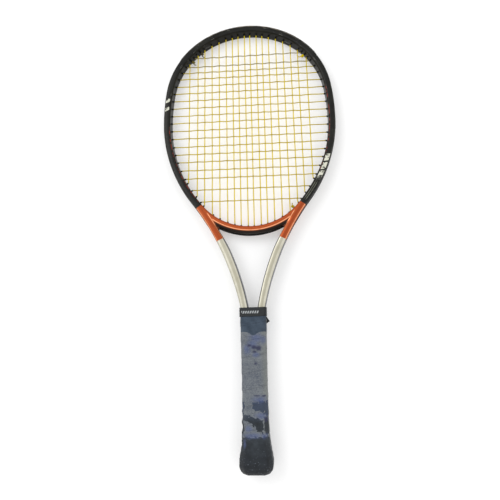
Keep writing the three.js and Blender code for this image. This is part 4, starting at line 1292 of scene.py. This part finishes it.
TAPE_LOW, TAPE_HIGH, TAPE_THICK = 0.2035, 0.217, 0.0004
TAPE_GAP, TAPE_WIDENING = 0.0003, 0.0001
TAPE_DEPTH_CHANGE = 0.0121 - 0.0132  # from the grip's end to the flat taper above it
TAPE_CUT = 0.002
TAPE_OUTER_ROWS, TAPE_INNER_ROWS = 18, 6
FLAP_HALF, FLAP_TIP_HALF, FLAP_THICK_HALF = 0.005, 0.0002, 0.00022
FLAP_AT, FLAP_REACH = (0.019, 0.1987, 0.005), (0.0047, -0.0016, 0.0022)


def tape_ring(y, grow):
    """The tape follows the grip below and the flat taper's top above."""
    half_x, half_z, cut = grip_size(min(y, GRIP_HIGH))
    t = share(y, GRIP_HIGH, TAPE_HIGH)
    half_x += TAPE_GAP + TAPE_WIDENING * t
    half_z += TAPE_GAP + TAPE_DEPTH_CHANGE * t
    cut += (TAPE_CUT - cut) * t
    ring, normal, part = octagon_ring(half_x, half_z, cut, rounding=1.1)
    if grow:
        way = part * 0.12
        wrinkle = 0.00007 * np.sin(way * 310 + y * 900) + 0.00006 * np.sin(way * 120 - y * 1500)
        ring = ring + normal * (grow + wrinkle)[:, None]
    slant = 0.0004 * np.sin(2 * math.pi * part + 0.8)
    return flat_ring(ring, y + slant)


def flap_ring(t):
    """The tape's loose end stands off the right side as a small folded triangle."""
    half = FLAP_HALF * (1 - t) + FLAP_TIP_HALF
    x, y, z = [at + reach * way for at, reach, way in zip(FLAP_AT, FLAP_REACH, (t, t, math.sin(t * 2)))]
    low, high = z - FLAP_THICK_HALF, z + FLAP_THICK_HALF
    return [(x, y - half, low), (x, y + half, low), (x, y + half, high), (x, y - half, high)]


def build_tape():
    parts = Parts()
    low, high = TAPE_LOW + 0.0004, TAPE_HIGH - 0.0004
    outer = [tape_ring(y, TAPE_THICK) for y in np.linspace(low, high, TAPE_OUTER_ROWS)]
    inner = [tape_ring(y, 0.0) for y in np.linspace(high, low, TAPE_INNER_ROWS)]
    parts.rings(np.concatenate([outer, inner]), loop=True)
    parts.rings([flap_ring(t) for t in np.linspace(0, 1, 7)])
    return parts.make("tape_band")


DASH_PERIOD, DASH_SLANT = 0.0034, 0.45
DASH_ROW, DASHES_ACROSS, DASHES_FRONT = (0.2084, 0.2119), (-0.0165, 0.0085), (0.004, 0.006)


def tape_look():
    """Black film, with plain slanted dashes, worn."""
    look = Look("tape_film", Coat_Weight=0.05, Coat_Roughness=0.3, Specular_IOR_Level=0.3)
    x, y, z = [look.axis(k) for k in range(3)]
    slanted = look.math("SUBTRACT", x, look.times(y, DASH_SLANT))
    dash = look.span(look.math("FRACT", look.math("DIVIDE", slanted, DASH_PERIOD)), 0.48, 0.54, 1.0, 0.0)
    row = look.times(look.between(y, *DASH_ROW, 0.0003), look.between(x, *DASHES_ACROSS, 0.0004))
    dashes = look.times(dash, row, look.span(z, *DASHES_FRONT))
    colour = look.tones(look.noise(120, 4), (14, 17, 19), (30, 34, 37))
    look.colour(colour, (dashes, (168, 172, 174)))
    look.roughness(300, 4, 0.38, 0.62)
    creases = look.noise(1.0, 4, vector=look.stretch((160, 900, 160)))
    look.bump((creases, 0.00015), (look.noise(1800, 2), 0.00003))
    return look


# ---------------------------------------------------------------- looks of the carried-over CAD nodes


def foam_look():
    look = Look("pallet_foam", Specular_IOR_Level=0.2)
    cells = look.cells(1500)
    colour = look.tones(look.noise(60, 4), (206, 192, 154), (224, 212, 178))
    look.colour(colour, (look.span(cells, 0.2, 0.6), (178, 160, 120)))
    look.roughness(300, 3, 0.8, 0.95)
    look.bump((cells, 0.0002), (look.noise(90), 0.0002))
    return look


def cap_look():
    look = Look("cap_plastic", Specular_IOR_Level=0.5)
    scuff = look.patches(160, 6, 0.55, 0.72, 0.7)
    colour = look.tones(look.noise(45, 4), (30, 31, 34), (46, 48, 52))
    look.colour(colour, (scuff, (92, 94, 98)))
    look.roughness(350, 4, 0.34, 0.62)
    look.bump((look.noise(1500, 3), 0.00006), (scuff, -0.00004))
    return look


def steel_look():
    look = Look("staple_steel", Metallic=1.0)
    brushed = look.noise(1.0, 4, vector=look.stretch((400, 3000, 3000)))
    look.colour(look.tones(brushed, (168, 170, 174), (206, 208, 212)))
    look.set("Roughness", look.span(brushed, NOISE_LOW, NOISE_HIGH, 0.22, 0.45))
    look.bump((brushed, 0.00003))
    return look


def leather_look():
    look = Look("base_grip", Specular_IOR_Level=0.35)
    pores = look.cells(700)
    colour = look.tones(look.noise(80, 5), (36, 36, 39), (58, 58, 62))
    look.colour(colour, (look.span(pores, 0.0, 0.2, 0.6, 0.0), (20, 20, 22)))
    look.roughness(260, 4, 0.6, 0.85)
    look.bump((look.span(pores, 0.0, 0.25), 0.0002), (look.noise(1200), 0.00006))
    return look


def rubber_look():
    look = Look("collar_rubber", Specular_IOR_Level=0.4)
    look.colour(look.tones(look.noise(90, 4), (24, 24, 25), (40, 40, 42)))
    look.roughness(300, 4, 0.55, 0.8)
    look.bump((look.noise(900, 4), 0.0001))
    return look


def dress_nodes(look, *nodes):
    """Gives CAD nodes that are kept as they are their look."""
    for node in nodes:
        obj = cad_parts[node]
        for slot in obj.material_slots:
            slot.material = look.mat
        if not obj.material_slots:
            obj.data.materials.append(look.mat)


# ---------------------------------------------------------------- make everything

finish_piece(build_shell(), FramePaint(), "frame_paint", "frame_tube", "throat_bridge")

guard_look, strip_look = moulded_look("guard_plastic", 1.0), moulded_look("strip_plastic", 0.25)
guard = build_strip("guard_strip", HOOP, -GUARD_REACH, GUARD_REACH, guard_outline)
finish_piece(guard, guard_look, "moulded_black", "bumper_guard")
throat_reach = BRIDGE_RADIUS * THROAT_STRIP_REACH
for side, rail, low, high, proud in (
    ("left", HOOP, -STRIP_END, -STRIP_START, STRIP_WALL),
    ("right", HOOP, STRIP_START, STRIP_END, STRIP_WALL),
    ("throat", BRIDGE, -throat_reach, throat_reach, THROAT_WALL),
):
    outline = strip_outline(rail, proud)
    strip = build_strip(side + "_strip", rail, low, high, lambda _distance: outline)
    finish_piece(strip, strip_look, "moulded_black", "grommet_strip_" + side)

main_runs = laid_runs(MAINS, main_crossings)
mains = build_string("main_strings", main_runs, MAIN_TIE_HOLES, LOOP_SHIFT, MAIN_RADIUS, 0.9)
main_look = string_look("main_string", (222, 198, 0), (200, 174, 0), (152, 128, 4), 0.0)
finish_piece(mains, main_look, "main_string", "main_string")

cross_runs = laid_runs(CROSSES, cross_crossings)
crosses = build_string("cross_strings", cross_runs, CROSS_TIE_HOLES, -LOOP_SHIFT, CROSS_RADIUS, 0.7)
cross_look = string_look("cross_string", (196, 175, 0), (164, 141, 0), (120, 103, 12), 0.8)
finish_piece(crosses, cross_look, "cross_string", "cross_string")

finish_piece(build_overgrip(), overgrip_look(), "overgrip", "overgrip")
finish_piece(build_tape(), tape_look(), "tape", "finishing_tape")

dress_nodes(foam_look(), "handle_pallet_front", "handle_pallet_back")
dress_nodes(cap_look(), "butt_cap", "butt_plate")
dress_nodes(steel_look(), "butt_cap_staple_front", "butt_cap_staple_back", "base_grip_staple")
dress_nodes(leather_look(), "base_grip")
dress_nodes(rubber_look(), "grip_collar")

# ---------------------------------------------------------------- floor and light

BUTT_TOUCH, TIP_TOUCH = Vector((0, 0.0137, -0.0211)), Vector((0, 0.684, -0.0117))
FLOOR_HALF, FLOOR_GAP = 4.0, 0.0001
FLOOR_GLOW = 0.36
DOME_LOW, DOME_HIGH = 0.32, 1.24  # the dome's strength at the horizon and overhead
WHITE = (1, 1, 1, 1)
MIDDLE = (0, 0.34, 0)


def add_floor():
    """The floor touches the flared butt and the tip of the head, as the racket would lie on a table."""
    slope = (TIP_TOUCH.z - BUTT_TOUCH.z) / (TIP_TOUCH.y - BUTT_TOUCH.y)
    corners = []
    for x, y in ((-1, -1), (1, -1), (1, 1), (-1, 1)):
        rise = (y * FLOOR_HALF - BUTT_TOUCH.y) * slope
        corners.append((x * FLOOR_HALF, y * FLOOR_HALF, BUTT_TOUCH.z + rise - FLOOR_GAP))
    floor = add_mesh("floor", corners, [(0, 1, 2, 3)])
    glow = {"Emission_Color": WHITE, "Emission_Strength": FLOOR_GLOW}
    look = Look("floor_paint", Roughness=0.9, Specular_IOR_Level=0.1, **glow)
    look.colour(look.mix(look.noise(6, 3), (0.62, 0.62, 0.62, 1), (0.65, 0.65, 0.65, 1)))
    floor.data.materials.append(look.mat)


def add_light(name, at, size, power):
    """A white area light that faces the racket's middle."""
    data = bpy.data.lights.new(name, "AREA")
    data.shape, data.size, data.size_y = "RECTANGLE", size[0], size[1]
    data.energy = power
    lamp = add_object(name, data)
    lamp.location = at
    lamp.rotation_euler = (Vector(MIDDLE) - Vector(at)).to_track_quat("-Z", "Y").to_euler()


def add_world():
    """A white dome, brighter overhead than at the horizon."""
    world = bpy.data.worlds.new("world")
    bpy.context.scene.world = world
    world.use_nodes = True
    tree = world.node_tree
    place = tree.nodes.new("ShaderNodeTexCoord")
    parts = tree.nodes.new("ShaderNodeSeparateXYZ")
    rise = tree.nodes.new("ShaderNodeMapRange")
    rise.inputs["To Min"].default_value, rise.inputs["To Max"].default_value = DOME_LOW, DOME_HIGH
    tree.links.new(place.outputs["Generated"], parts.inputs[0])
    tree.links.new(parts.outputs[2], rise.inputs["Value"])
    tree.links.new(rise.outputs[0], tree.nodes["Background"].inputs["Strength"])
    tree.nodes["Background"].inputs["Color"].default_value = WHITE


add_floor()
add_world()
add_light("key", (-1.1, 1.1, 1.7), (1.2, 1.2), 15)
add_light("fill", (1.3, 0.0, 1.4), (1.0, 1.6), 3)
